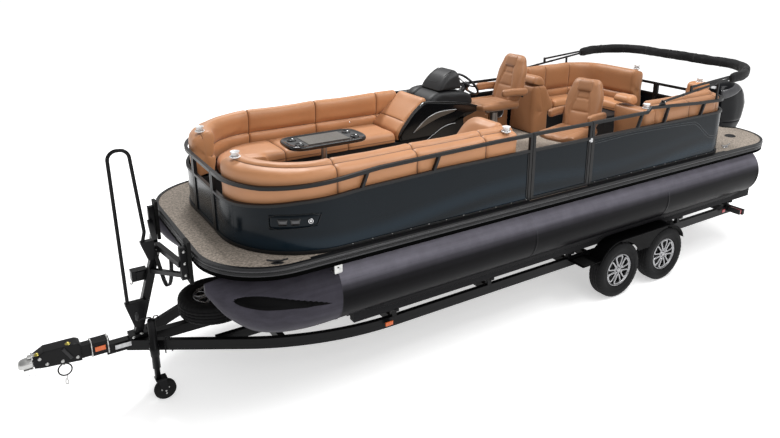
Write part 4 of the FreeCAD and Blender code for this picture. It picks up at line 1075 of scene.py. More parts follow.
def make_chair(name, place, turn_degrees, seat_top, head_top, arm_lift):
    """Bucket chair on the body of its name: x forward and z up from the seat's top, over its pedestal."""
    where = Matrix.Translation((*place, seat_top)) @ Matrix.Rotation(math.radians(turn_degrees), 4, "Z")
    head = head_top - seat_top

    # seat: bucket with side rolls, a centre panel with two seams and a falling front edge
    rows = []
    for x in spread(-0.235, 0.428, 46):
        front = closing(0.428 - x, 0.10)
        rear = closing(x + 0.235, 0.05)
        half = min(0.240, math.sqrt(max(0.440 ** 2 - x * x, 0.0)) - 0.004)
        half *= 0.80 + 0.20 * front
        half *= 0.9 + 0.1 * rear
        top = -0.006 - 0.060 * (1 - front) - 0.012 * (1 - rear)
        low = -0.142 + 0.035 * (1 - front) + 0.03 * smooth_step(0.1, 0.4, x)
        middle = (top + low) / 2
        row = []
        for y, z in super_ring(half, (top - low) / 2, 3.0, 76):
            pinned = 0.0
            if z > 0:
                dip = 0.016 * (1 - smooth_step(0.115, 0.165, abs(y)))
                edge = groove(abs(y) - 0.140) * 0.009
                across = max(groove(x - 0.315), groove(x - 0.02)) * 0.008 * (abs(y) < 0.14)
                fade = min(1.0, z / 0.04)
                z -= (dip + edge + across) * fade
                pinned = 0.99 if groove(abs(y) - 0.140) > 0.75 or (across > 0.006) else 0.0
            row.append((where @ Vector((x, y, middle + z)), max(pinned, 0.99 if z < -0.045 else 0.0)))
        rows.append(row)
    cushion(name + "_seat", rows, "tan_chair", name, cap=0.006, pressure=3.0)

    # back: side bolsters round a recessed panel, narrowing to the headrest
    rows = []
    heights = spread(-0.140, head - 0.004, 52)
    seams = (0.155, 0.305, head - 0.150)
    for z in heights:
        share = max(0.0, (z + 0.02) / head)
        front = -0.078 - 0.200 * share if z > -0.02 else -0.078 - 0.05 * (-0.02 - z) / 0.13
        rear = -0.290 - 0.085 * smooth_step(-0.14, 0.19, z) - 0.018 * smooth_step(0.19, head - 0.09, z)
        # the back widens to the shoulders and narrows again to the headrest
        half = 0.200 + 0.036 * smooth_step(-0.14, 0.10, z) - 0.052 * smooth_step(0.30, head - 0.01, z)
        crown = closing(head - z, 0.075)
        front -= 0.050 * (1 - crown)
        rear += 0.045 * (1 - crown)
        half *= 0.62 + 0.38 * crown
        middle = (front + rear) / 2
        thick = (front - rear) / 2
        insert = 0.062 + 0.062 * (1 - smooth_step(0.10, head - 0.12, z))
        row = []
        for y, x in super_ring(half, thick, 2.9, 76):
            pinned = 0.0
            if x > 0:
                inner = 1 - smooth_step(insert - 0.02, insert + 0.03, abs(y))
                dip = 0.022 * inner
                edge = groove(abs(y) - insert) * 0.010
                channels = max(groove(z - s) for s in seams) * 0.010 * (abs(y) < insert + 0.005)
                if z > seams[2]:
                    dip = 0.012 * inner
                fade = min(1.0, x / 0.05) * min(1.0, crown * 1.3)
                x -= (dip + edge + channels) * fade
                pinned = 0.99 if edge > 0.0075 or channels > 0.0075 else 0.0
            else:
                # the smooth rear cover is a little flatter than the front upholstery
                x *= 0.94
            row.append((where @ Vector((middle + x, y, z)), pinned))
        rows.append(row)
    back = cushion(name + "_back", rows, "tan_chair", name, cap=0.007, pressure=3.0)

    # darker headrest panel
    slope = Matrix.Translation((-0.268, 0, head - 0.082)) @ Matrix.Rotation(math.radians(-20), 4, "Y")
    rows = []
    for z in spread(-0.064, 0.064, 12):
        crown = math.sqrt(max(0.0, 1 - (abs(z) / 0.066) ** 4))
        half = (0.098 - 0.10 * z) * (0.9 + 0.1 * crown)
        thick = 0.004 + 0.012 * crown
        rows.append([(where @ slope @ Vector((x, y, z)), 0.0) for y, x in super_ring(half, thick, 3.0, 40)])
    cushion(name + "_headrest", rows, "tan_dark", name, cap=0.003, pressure=2.0)

    # armrests: long pads with a seam round them
    for sign, side in SIDES:
        rows = []
        for x in spread(-0.322, 0.092, 26):
            close = closing(min(x + 0.322, 0.092 - x), 0.05)
            half = 0.037 * (0.45 + 0.55 * close)
            tall = 0.049 * (0.55 + 0.45 * close)
            middle = arm_lift + 0.055 - 0.012 * smooth_step(-0.05, -0.33, x)
            row = []
            for y, z in super_ring(half, tall, 2.6, 32):
                belt = groove(z - 0.012, 0.007)
                spot = Vector((x, sign * 0.262 + y * (1 - 0.10 * belt), middle + z))
                row.append((where @ spot, 0.99 if belt > 0.6 and abs(y) > half * 0.6 else 0.0))
            rows.append(row)
        cushion(name + "_armrest_" + side, rows, "tan_chair", name, cap=0.003, pressure=2.5)
        arm = [(-0.30, 0.205, arm_lift - 0.035), (-0.24, 0.244, arm_lift + 0.010),
            (-0.18, 0.262, arm_lift + 0.022)]
        tube(name + "_arm_stay_" + side, [where @ Vector((x, sign * y, z)) for x, y, z in arm], 0.013,
            "plastic", name, smooth=2)

    # swivel cup, slide rails and lever below the seat
    centre = where @ Vector((0, 0, 0))
    cup_z = -0.183
    lathe(name + "_swivel", [(0.0, cup_z + 0.002), (0.082, cup_z + 0.002), (0.088, cup_z + 0.008),
        (0.084, cup_z + 0.026), (0.060, cup_z + 0.036), (0.0, cup_z + 0.036)], "plastic", centre, body=name)
    rails = [block("rail", (-0.18, y - 0.014, -0.152), (0.22, y + 0.014, -0.134), "zinc", name, 0.002)
        for y in (-0.105, 0.105)]
    join(rails, name + "_slides").data.transform(where)
    lever = [(0.20, 0.13, -0.150), (0.27, 0.17, -0.152), (0.30, 0.205, -0.148)]
    tube(name + "_lever", [where @ Vector(p) for p in lever], 0.006, "steel", name, smooth=2)
    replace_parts(back, name)


make_chair("helm_chair", (-0.620, -0.650), 0.0, 2.160, 2.700, 0.050)
make_chair("passenger_chair", (-0.940, 0.430), 15.0, 1.970, 2.510, 0.075)


# ---------------------------------------------------------------- rolled awning in its boot
BEND = (-2.774, 2.493)        # (x, z) on the awning's arms, where the boot starts
BOOT_MID = 1.249              # from the centre line of the boat to the boot along each side
BOOT_AFT = -3.540             # its run across the stern
BOOT_BEND = 0.600             # radius of its two corners
BOOT_CLIMB = math.tan(math.radians(3.5))


def boot_point(share):
    """Point, direction and length of the boot's centre line, at a share of its run from the port arm."""
    straight = BEND[0] - 0.012 - (BOOT_AFT + BOOT_BEND)
    arc = BOOT_BEND * math.pi / 2
    cross = 2 * (BOOT_MID - BOOT_BEND)
    total = 2 * straight + 2 * arc + cross
    s = share * total
    flip = s > total / 2
    if flip:
        s = total - s
    if s < straight:
        x, y = BEND[0] - 0.012 - s, BOOT_MID
        way = Vector((-1, 0, 0))
    elif s < straight + arc:
        angle = (s - straight) / BOOT_BEND
        x = BOOT_AFT + BOOT_BEND - BOOT_BEND * math.sin(angle)
        y = BOOT_MID - BOOT_BEND + BOOT_BEND * math.cos(angle)
        way = Vector((-math.cos(angle), -math.sin(angle), 0))
    else:
        x, y = BOOT_AFT, BOOT_MID - BOOT_BEND - (s - straight - arc)
        way = Vector((0, -1, 0))
    if flip:
        y = -y
        way = Vector((-way.x, way.y, 0))
    z = BEND[1] + 0.012 + (BEND[0] - x) * BOOT_CLIMB
    return Vector((x, y, z)), way, total


def boot_ring(centre, way, scale, bump, count, wide, tall):
    """Ring of the boot's tall rounded section; bump gives what each point adds sideways and to its size."""
    side = way.cross(Vector((0, 0, 1)))
    out = []
    for k in range(count):
        angle = TAU * k / count
        c, s = math.cos(angle), math.sin(angle)
        lap, swell = bump(c, s)
        across = wide * math.copysign(abs(c) ** 0.8, c) * scale * swell - lap
        out.append(centre + side * across
            + Vector((0, 0, tall * math.copysign(abs(s) ** 0.85, s) * scale * swell)))
    return out


BOOT_STEPS = 200
BOOT_SIDES = 32
STRAPS = (0.012, 0.115, 0.215, 0.325, 0.44, 0.56, 0.675, 0.785, 0.885, 0.988)


def make_boot():
    """Canvas roll with its straps and zip, along the whole awning frame."""
    total = boot_point(0)[2]
    rows = []
    for share in (n / (BOOT_STEPS - 1) for n in range(BOOT_STEPS)):
        centre, way, _ = boot_point(share)
        close = closing(min(share, 1 - share) * total, 0.05)
        tie = max(groove((share - s) * total, 0.022) for s in STRAPS)

        def bump(c, s):
            # the canvas ripples and creases, and its edge laps over the zip
            ripple = noise.noise(Vector((share * total * 3.1, c * 0.8, s * 0.8))) * 0.0045
            fold = noise.noise(Vector((share * total * 9.0, c * 1.7 + 4, s * 1.7))) * 0.0022
            lap = 0.004 * smooth_step(-0.25, -0.1, s) * (1 - smooth_step(0.25, 0.5, s)) * (c < 0)
            return lap, 1 + (ripple + fold) / 0.04

        ring = boot_ring(centre, way, (0.55 + 0.45 * close) * (1 - 0.10 * tie), bump, BOOT_SIDES, 0.042,
            0.066)
        # held under each strap and along the zip, which lies at half a turn
        rows.append([(point, 1.0 if tie > 0.4 or abs(k - BOOT_SIDES // 2) < 2 else 0.0)
            for k, point in enumerate(ring)])
    boot = cushion("bimini_roll", rows, "canvas", "bimini_top", cap=0.004, pressure=3.0)
    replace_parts(boot, "bimini_boot")
    bands = []
    for s in STRAPS[1:-1]:
        rings = []
        for offset in (-0.0125, -0.011, 0.011, 0.0125):
            centre, way, _ = boot_point(s + offset / total)
            thin = 0.9 if abs(offset) > 0.012 else 1.0
            rings.append(boot_ring(centre, way, thin, lambda c, s: (0.0, 1.0), 36, 0.0418, 0.0655))
        bands.append(shell("band", rings, "webbing", "bimini_top", caps=False))
    join(bands, "bimini_straps")
    zips = []
    for share in spread(0.02, 0.98, 180):
        centre, way, _ = boot_point(share)
        zips.append(centre - way.cross(Vector((0, 0, 1))) * 0.037 + Vector((0, 0, 0.026)))
    tube("bimini_zip", zips, 0.0035, "webbing", "bimini_top", sides=6)


make_boot()


# ---------------------------------------------------------------- tubes
TUBE_Y = 0.930
TUBE_Z = 1.098
TUBE_R = 0.335
# place along the boat, half width, top, bottom
NOSE = (
    (2.200, TUBE_R, 1.433, 0.763), (2.450, TUBE_R, 1.433, 0.763), (2.950, 0.322, 1.432, 0.760),
    (3.300, 0.245, 1.428, 0.828), (3.540, 0.135, 1.418, 1.030), (3.715, 0.018, 1.396, 1.300),
)
WELDS = (NOSE_WELD, 0.330, -1.830, -3.715)


def nose_section(x):
    """Half width, top and bottom of the tube at a place along it."""
    if x <= NOSE[0][0]:
        return NOSE[0][1:]
    for n in range(len(NOSE) - 1):
        if x <= NOSE[n + 1][0]:
            break
    rows = [NOSE[max(0, min(len(NOSE) - 1, n + k))] for k in (-1, 0, 1, 2)]
    t = (x - rows[1][0]) / (rows[2][0] - rows[1][0])
    out = []
    for k in (1, 2, 3):
        p0, p1, p2, p3 = (row[k] for row in rows)
        m1 = (p2 - p0) / max(0.1, rows[2][0] - rows[0][0]) * (rows[2][0] - rows[1][0])
        m2 = (p3 - p1) / max(0.1, rows[3][0] - rows[1][0]) * (rows[2][0] - rows[1][0])
        out.append((2 * t ** 3 - 3 * t ** 2 + 1) * p1 + (t ** 3 - 2 * t ** 2 + t) * m1
            + (3 * t ** 2 - 2 * t ** 3) * p2 + (t ** 3 - t ** 2) * m2)
    return out


def scallop(x, z):
    """Depth of the recess pressed into each side of the nose."""
    t = (x - RECESS_X) / RECESS_LENGTH
    if not 0 < t < 1:
        return 0.0
    middle = RECESS_Z + RECESS_RISE * t
    tall = RECESS_TALL * min(1.0, t / 0.7) ** 0.8 * math.sqrt(1 - max(0.0, (t - 0.7) / 0.3) ** 2)
    gap = (z - middle) / max(tall, 0.004)
    depth = 0.040 * smooth_step(1.10, 0.80, abs(gap))
    depth *= min(1.0, t / 0.2)
    return depth * (0.35 + 0.65 * smooth_step(-1, 0.8, gap))


TUBE_STEPS = 140              # points round a tube


def make_tube(sign, label):
    """Tube skin with its nose, keel extrusion and two strakes."""
    xs = [-3.735, -3.725, -3.7, -3.5] + spread(-3.2, 2.3, 12) + spread(2.42, 3.712, 88)
    xs += [weld + step for weld in WELDS for step in (-0.030, -0.008, -0.004, 0.0, 0.004, 0.008, 0.030)]
    rings = []
    for share in (0.04, 0.25, 0.45, 0.65, 0.82, 0.94):
        x = -3.735 - 0.085 * math.sqrt(1 - share ** 2)
        rings.append([Vector((x, sign * (TUBE_Y + TUBE_R * share * math.cos(a)),
            TUBE_Z + TUBE_R * share * math.sin(a)))
            for a in (math.pi / 2 - TAU * k / TUBE_STEPS for k in range(TUBE_STEPS))])
    for x in sorted(xs):
        wide, top, bottom = nose_section(x)
        bead = 0.004 * max(groove(x - weld, 0.005) for weld in WELDS)
        tall = (top - bottom) / 2
        middle = (top + bottom) / 2
        radius = (tall ** 2 + wide ** 2) / (2 * wide)
        reach = math.asin(min(1.0, tall / radius))
        ring = []
        for side in (1, -1):
            for k in range(TUBE_STEPS // 2):
                angle = side * reach * (1 - 4 * k / TUBE_STEPS)
                y = side * (wide - radius + radius * math.cos(angle))
                z = middle + radius * math.sin(angle)
                y -= side * scallop(x, z) * min(1.0, abs(y) / 0.06)
                out = Vector((0, y, z - middle))
                out += out.normalized() * bead
                ring.append(Vector((x, sign * (TUBE_Y + out.y), middle + out.z)))
        rings.append(ring)
    tube_piece = shell("pontoon_" + label + "_skin", rings, "tube")
    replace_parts(tube_piece, "pontoon_" + label)
    # the keel's extrusion and two lifting strakes folded along the tube's lower sides
    low = [(-3.665, 0.748), (-3.675, 0.760), (-3.675, 0.80), (2.60, 0.80), (2.80, 0.80), (2.79, 0.768),
        (2.74, 0.748)]
    rings = [[Vector((x, sign * (TUBE_Y + y), z)) for x, z in low] for y in (-0.010, -0.007, 0.007, 0.010)]
    shell("keel_" + label, rings, "tube")
    for side in (1, -1):
        rings = []
        for x in spread(-3.55, 2.35, 30):
            end = min(1.0, min(x + 3.55, 2.35 - x) / 0.22)
            reach = 0.030 * end + 0.0005
            around = math.radians(-52)
            at = Vector((x, side * TUBE_R * math.cos(around), TUBE_R * math.sin(around)))
            along = Vector((0, -side * math.sin(around), math.cos(around)))
            out = Vector((0, side * math.cos(around), math.sin(around)))
            row = [at + along * 0.045, at + along * 0.004 + out * reach, at - along * 0.004 + out * reach,
                at - along * 0.020]
            rings.append([Vector((x, sign * (TUBE_Y + p.y), TUBE_Z + p.z)) for p in row])
        shell("strake_" + label + ("_out" if side > 0 else "_in"), rings, "tube", smooth=False)


for sign, side in SIDES:
    make_tube(sign, side)


def arc(x, y, radius, low, high, count, z):
    """Points of a level arc from angle low to high in degrees, both left out."""
    return [Vector((x + radius * math.cos(a), y + radius * math.sin(a), z))
        for a in (math.radians(low + (high - low) * k / count) for k in range(1, count))]


STERN_R, BOW_R = 0.600, 0.640         # radii of the deck's stern and bow corners


def deck_path(grow, z):
    """Edge of the deck, grown outwards, from the port side of the motor well round to its starboard side."""
    half = 1.262 + grow
    bow = 3.660 + grow
    stern = -4.092 - grow
    points = [Vector((stern, 0.655, z)), Vector((stern, half - STERN_R - grow, z))]
    radius = STERN_R + grow
    points += arc(stern + radius, half - radius, radius, 180, 90, 12, z)
    count = int((bow - stern - 1.3) / 0.6)
    points += [Vector((x, half, z)) for x in spread(stern + radius, bow - BOW_R - grow, count + 1)]
    radius = BOW_R + grow
    points += arc(bow - radius, half - radius, radius, 90, 0, 16, z)
    points.append(Vector((bow, half - radius, z)))
    return points + [Vector((p.x, -p.y, p.z)) for p in points[::-1]]


# painted highlight: the upper and lower rub rails are a lighter grey than the trim, for the highlight along
# them
tube("rub_rail_upper", deck_path(0.030, 1.526), 0.010, "rub", sides=8)
tube("rub_rail_middle", deck_path(0.031, 1.504), 0.006, "trim", sides=6)
tube("rub_rail_lower", deck_path(0.031, 1.484), 0.006, "rub", sides=6)
for sign, side in SIDES:
    block("deck_edge_strip_" + side, (-2.900, sign * 1.232, 1.5475), (2.900, sign * 1.266, 1.5515), "trim",
        bevel=0.0012)


DECK_Z = 1.547                # top of the deck


def cleat(name, place, turn_degrees, material):
    """Low two-horned deck cleat on an oval foot."""
    turn = Matrix.Translation(place) @ Matrix.Rotation(math.radians(turn_degrees), 4, "Z")
    parts = []
    foot = [[Vector((a, b, z)) for a, b in super_ring(0.052 * k, 0.022 * k, 2.2, 24)]
        for z, k in ((0.0005, 1.0), (0.005, 1.0), (0.008, 0.85))]
    parts.append(shell("foot", [[turn @ v for v in ring] for ring in foot], material))
    horn = [(-0.088, 0, 0.036), (-0.06, 0, 0.031), (-0.03, 0, 0.024), (0.03, 0, 0.024), (0.06, 0, 0.031),
        (0.088, 0, 0.036)]
    parts.append(tube("horn", [turn @ Vector(p) for p in horn], 0.0075, material, smooth=1))
    for x in (-0.026, 0.026):
        parts.append(tube("post", [turn @ Vector((x, 0, 0.004)), turn @ Vector((x * 0.8, 0, 0.024))], 0.009,
            material))
    return join(parts, name)


for sign, side in SIDES:
    cleat("bow_cleat_" + side, (3.172, sign * 1.19, DECK_Z), sign * -24, "plastic")
    cleat("stern_cleat_" + side, (-3.062, sign * 1.145, DECK_Z), 0, "steel")
    hang = [block("plate", (2.618, sign * 1.262 - 0.012, 1.355), (2.696, sign * 1.262 + 0.010, 1.432),
        "zinc"),
        block("foot", (2.625, sign * 1.225 - 0.035, 1.345), (2.690, sign * 1.225 + 0.040, 1.357), "zinc"),
        lathe("bolt", [(0.0, 0.016), (0.009, 0.015), (0.011, 0.0)], "steel", (2.657, sign * 1.270, 1.40),
        (0, sign, 0), steps=12)]
    join(hang, "tube_hanger_" + side)
for sign, name in ((1, "deck_popup"), (-1, "deck_popup_starboard")):
    lathe(name, [(0.0, 0.008), (0.050, 0.010), (0.060, 0.014), (0.068, 0.010), (0.072, 0.0005)], "plastic",
        (-3.628, sign * 0.846, DECK_Z), steps=36)


# ---------------------------------------------------------------- helm console
def rounded_prism(name, outline, y0, y1, material, end_round=0.02, pitch=0.06, shrink=None, fine=1):
    """Hard moulding with a side outline of (x, z) points and rounded ends, from y0 to y1."""
    profile = closed_curve(outline, 0.030)
    box = profile_box(profile)
    middle = Vector(((box[0] + box[1]) / 2, (box[2] + box[3]) / 2))
    rings = []
    for place, inset, _ in stations(y0, y1, (), pitch, end_round):
        ring = []
        for x, z, _ in profile:
            away = Vector((x, z)) - middle
            k = max(0.05, 1 - inset / max(away.length, 0.001))
            spot = middle + away * k
            if shrink:
                spot.y = box[2] + (spot.y - box[2]) * shrink(place)
            ring.append(Vector((spot.x, place, spot.y)))
        rings.append(ring)
    made = shell(name, rings, material)
    if fine:
        finer = made.modifiers.new("smooth", "SUBSURF")
        finer.levels = fine
        finer.render_levels = fine
    return made


def ribbon(name, points, material, width=0.006):
    """Raised line on the console's port face, through (x, z) points."""
    tube(name, [(x, -0.3965, z) for x, z in points], width / 2, material, smooth=3, sides=6)


LIP = [(0.619, 2.300), (0.342, 2.265), (0.054, 2.223), (-0.146, 2.154, 1), (-0.143, 2.096, 1),
    (0.054, 2.088, 1)]
rounded_prism("console_body", [(0.054, 1.552, 1), (0.550, 1.552, 1), (0.550, 2.285, 1)] + LIP[1:], -1.190,
    -0.436, "gloss", end_round=0.015)
fin = rounded_prism("console_fin", [(0.054, 1.552, 1), (0.550, 1.552, 1), (0.556, 1.872, 1),
    (0.980, 1.872, 1), (0.990, 1.925), (0.955, 2.000), (0.905, 2.060), (0.800, 2.180), (0.700, 2.262),
    *LIP], -0.455, -0.402, "gloss", end_round=0.020, pitch=0.02)
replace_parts(fin, "console")

# blades let into the fin, each with a bright edge
blade = [(0.795, 1.952), (0.690, 2.045), (0.585, 2.112), (0.470, 2.150), (0.330, 2.160), (0.180, 2.152),
    (0.300, 2.118), (0.430, 2.084), (0.560, 2.040), (0.680, 1.992)]
ridge = [(x, z) for x, z, _ in closed_curve(blade, 0.03)]
centre = Vector((sum(p[0] for p in ridge) / len(ridge), sum(p[1] for p in ridge) / len(ridge)))
levels = []
for y, share in ((-0.4035, 1.0), (-0.3990, 0.985), (-0.3985, 0.93)):
    levels.append([Vector((centre.x + (x - centre.x) * share, y,
        centre.y + (z - centre.y) * (share - (1 - share) * 2))) for x, z in ridge])
shell("console_blade", levels, "bronze")
ribbon("console_blade_edge", [(0.800, 1.948), (0.690, 2.046), (0.585, 2.114), (0.470, 2.152),
    (0.330, 2.162), (0.178, 2.153)], "satin", 0.007)
ribbon("console_lower_line", [(0.700, 1.762), (0.600, 1.842), (0.509, 1.889), (0.430, 1.935),
    (0.355, 1.968), (0.270, 1.985), (0.190, 1.984)], "satin", 0.006)
tube("console_top_edge", [(0.965, -0.404, 1.985), (0.900, -0.404, 2.066), (0.800, -0.404, 2.182),
    (0.700, -0.404, 2.264), (0.619, -0.404, 2.300), (0.342, -0.404, 2.266), (0.054, -0.404, 2.224),
    (-0.140, -0.404, 2.158)], 0.007, "gloss", smooth=2)


def dash_crown(y):
    """The dash is highest ahead of the wheel and falls away to both sides."""
    return 1.0 - 0.28 * smooth_step(0.22, 0.40, abs(y + 0.72)) ** 1.5


rounded_prism("dash", [(-0.110, 2.176), (-0.108, 2.262), (-0.077, 2.304), (0.008, 2.338), (0.140, 2.367),
    (0.300, 2.374), (0.420, 2.366), (0.520, 2.310), (0.548, 2.255), (0.400, 2.215), (0.054, 2.180)], -1.045,
    -0.436, "dash", end_round=0.07, pitch=0.045, shrink=dash_crown)
rounded_prism("dash_step", [(0.180, 2.300), (0.260, 2.372), (0.370, 2.392), (0.480, 2.362), (0.552, 2.296),
    (0.460, 2.268), (0.300, 2.262)], -0.955, -0.800, "dash", end_round=0.06, pitch=0.03)


def hood_crown(y):
    """Rounded shoulders along the hood's port and starboard edges."""
    return 1.0 - 0.16 * smooth_step(0.13, 0.20, abs(y + 0.66))


hood = rounded_prism("hood_shell", [(0.062, 2.382, 1), (0.066, 2.470), (0.098, 2.580), (0.122, 2.606),
    (0.160, 2.604), (0.215, 2.588), (0.274, 2.556), (0.330, 2.500), (0.372, 2.438), (0.394, 2.384, 1)],
    -0.868, -0.452, "hood", end_round=0.045, pitch=0.03, shrink=hood_crown)
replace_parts(hood, "instrument_hood")
# creased panel on the hood's face and a dark visor lip round its back edge
crease = [(0.170, -0.800, 2.604), (0.268, -0.800, 2.562), (0.352, -0.780, 2.468), (0.352, -0.540, 2.468),
    (0.268, -0.520, 2.562), (0.170, -0.520, 2.604)]
tube("hood_crease", crease, 0.0035, "plastic", smooth=2, sides=6)
verts = []
for x0, z0 in ((0.060, 2.425), (0.090, 2.560)):
    verts += [(x0, -0.820, z0), (x0, -0.500, z0), (x0 - 0.006, -0.500, z0), (x0 - 0.006, -0.820, z0)]
add_mesh("instrument_glass", verts, [(0, 1, 5, 4), (3, 7, 6, 2), (0, 4, 7, 3), (1, 2, 6, 5), (4, 5, 6, 7),
    (0, 3, 2, 1)], "gloss", smooth=False)

# steering column, wheel and throttle
hub = Vector((-0.165, -0.650, 2.385))
lean = math.radians(40)
axis = Vector((-math.cos(lean), 0, math.sin(lean)))
lathe("steering_column", [(0.030, -0.30), (0.034, -0.20), (0.034, -0.11), (0.030, -0.050), (0.0, -0.050)],
    "plastic", hub, axis)
turn = Vector((0, 0, 1)).rotation_difference(axis).to_matrix()


def wheel_spot(angle, radius, height):
    """Point on the steering wheel, height above its plane along the column."""
    return hub + turn @ Vector((radius * math.cos(angle), radius * math.sin(angle), height))


grip = tube("steering_wheel_rim", [wheel_spot(TAU * k / 48, 0.172, 0.0) for k in range(48)], 0.0145,
    "plastic", "steering_wheel", cyclic=True, sides=12)
lathe("steering_hub", [(0.0, -0.040), (0.040, -0.038), (0.044, -0.010), (0.040, 0.012), (0.026, 0.020),
    (0.0, 0.021)], "plastic", hub, axis, "steering_wheel")
arms = []
for n in range(3):
    angle = math.pi / 2 + TAU * n / 3
    for way in (0.10, -0.10):
        line = [wheel_spot(angle + way * k, r, h)
            for r, h, k in ((0.030, -0.006, 1), (0.100, -0.014, 1), (0.163, -0.002, 0.4))]
        arms.append(tube("spoke", line, 0.007, "satin", "steering_wheel", smooth=2))
join(arms, "steering_spokes")
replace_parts(grip, "steering_wheel")
lever = [block("base", (-0.02, -0.995, 2.318), (0.11, -0.915, 2.352), "plastic", bevel=0.012),
    tube("arm", [(0.045, -0.955, 2.34), (0.030, -0.955, 2.42), (0.000, -0.945, 2.468)], 0.010, "plastic",
    smooth=2),
    lathe("knob", [(0.0, -0.03), (0.016, -0.026), (0.018, 0.0), (0.015, 0.028), (0.0, 0.034)], "plastic",
    (-0.002, -0.945, 2.468), (0, 1, 0), steps=20)]
join(lever, "throttle")


# ---------------------------------------------------------------- table
TABLE_X = 2.150
TOP = 2.187                   # the table's top


def oval(half, flat, z, count=20):
    """Outline of the table: straight sides between two squared rounds."""
    points = []
    for end in (1, -1):
        for k in range(count + 1):
            a = math.pi * k / count - math.pi / 2
            out = abs(math.cos(a)) ** 0.62
            across = math.copysign(abs(math.sin(a)) ** 0.62, math.sin(a))
            points.append(Vector((TABLE_X + end * (flat + half * out), end * half * across, z)))
    return points


rings = [oval(h, 0.205, z) for h, z in ((0.150, TOP - 0.046), (0.195, TOP - 0.046), (0.216, TOP - 0.041),
    (0.2235, TOP - 0.030), (0.2235, TOP - 0.008), (0.214, TOP + 0.001), (0.200, TOP + 0.001),
    (0.192, TOP - 0.005), (0.150, TOP - 0.0055))]
table = shell("table_board", rings, "gloss")
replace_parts(table, "table_top")
# ribbed centre panel and two cup wells at each end
panel = [block("slat", (TABLE_X - 0.225, -0.148 + 0.0296 * n, TOP - 0.006),
    (TABLE_X + 0.225, -0.121 + 0.0296 * n, TOP - 0.0015), "table_slats", bevel=0.0015) for n in range(10)]
join(panel, "table_panel")
wells = []
for x in (-0.305, 0.305):
    for y in (-0.095, 0.095):
        wells.append(lathe("well", [(0.030, TOP - 0.003), (0.034, TOP - 0.0035), (0.037, TOP + 0.001),
            (0.041, TOP + 0.003), (0.046, TOP + 0.002), (0.047, TOP - 0.005)], "gloss", (TABLE_X + x, y, 0),
            steps=28))
        wells.append(lathe("pit", [(0.0, TOP - 0.002), (0.031, TOP - 0.0025)], "plastic",
            (TABLE_X + x, y, 0), steps=28))
join(wells, "table_wells")


# ---------------------------------------------------------------- cups and small parts on the upholstery
def cup(name, place):
    """Clear cup in a round collar."""
    x, y, z = place
    parts = [lathe("collar", [(0.030, z - 0.012), (0.046, z - 0.002), (0.050, z + 0.004),
        (0.046, z + 0.009), (0.038, z + 0.008)], "clear", (x, y, 0), steps=28),
        lathe("wall", [(0.0, z + 0.004), (0.031, z + 0.004), (0.038, z + 0.046), (0.042, z + 0.049),
        (0.0405, z + 0.051), (0.036, z + 0.047), (0.029, z + 0.008), (0.0, z + 0.008)], "clear", (x, y, 0),
        steps=28)]
    return join(parts, name)


for name, place in (("bow_starboard", (3.245, -0.480, 2.300)), ("bow_port", (3.240, 0.520, 2.300)),
        ("port_side", (0.720, 1.140, 2.305)), ("port_aft", (-1.445, 1.090, 2.262)),
        ("port_stern", (-2.765, 0.845, 2.392)), ("starboard_stern", (-2.760, -0.150, 2.420))):
    cup("cup_" + name, place)
snaps = [lathe("snap", [(0.0, 0.006), (0.008, 0.005), (0.011, 0.0)], "steel", (x, sign * 0.985, 2.022),
    (0, -sign, 0.3), steps=14) for sign in (1, -1) for x in (1.330, 2.140)]
join(snaps, "seat_snaps")


# ---------------------------------------------------------------- wheels
AXLES = (("front", -1.083), ("rear", -1.914))
WHEEL_R = 0.349
TREAD_STEPS = 200             # steps round a tyre, five to each tread block
# distance from the tyre's middle and radius, from the inner bead round the tread to the outer bead
CARCASS = ((-0.074, 0.205), (-0.084, 0.212), (-0.092, 0.240), (-0.097, 0.285), (-0.0935, 0.318),
    (-0.086, 0.334), (-0.075, 0.343), (-0.058, 0.3475), (-0.0555, 0.3475), (-0.054, 0.341), (-0.048, 0.341),
    (-0.0465, 0.3485), (-0.0205, 0.349), (-0.019, 0.341), (-0.013, 0.341), (-0.0115, 0.349),
    (0.0115, 0.349), (0.013, 0.341), (0.019, 0.341), (0.0205, 0.349), (0.0465, 0.3485), (0.048, 0.341),
    (0.054, 0.341), (0.0555, 0.3475), (0.058, 0.3475), (0.075, 0.343), (0.086, 0.334), (0.0935, 0.318),
    (0.0945, 0.312), (0.0965, 0.308), (0.097, 0.285), (0.0965, 0.262), (0.0935, 0.258), (0.092, 0.240),
    (0.0895, 0.224), (0.084, 0.212), (0.074, 0.205),)


def make_tyre(name, place, axis, body):
    """Road tyre with four grooves, cut shoulders and ribbed sidewalls; the axle runs along axis."""
    turn = Vector((0, 1, 0)).rotation_difference(Vector(axis)).to_matrix()
    rings = []
    for k in range(TREAD_STEPS):
        angle = TAU * k / TREAD_STEPS
        cut = k % 5 == 0
        sipe = k % 5 in (2, 3)
        ring = []
        for y, radius in CARCASS:
            shoulder = abs(y) > 0.056 and radius > 0.330
            if cut and shoulder:
                radius -= 0.006
            elif sipe and radius > 0.347 and abs(y) < 0.05:
                radius -= 0.0022
            ring.append(Vector(place) + turn @ Vector((radius * math.sin(angle), y,
                radius * math.cos(angle))))
        rings.append(ring)
    rings.append(rings[0])
    return shell(name, rings, "tyre", body, caps=False, around=False)


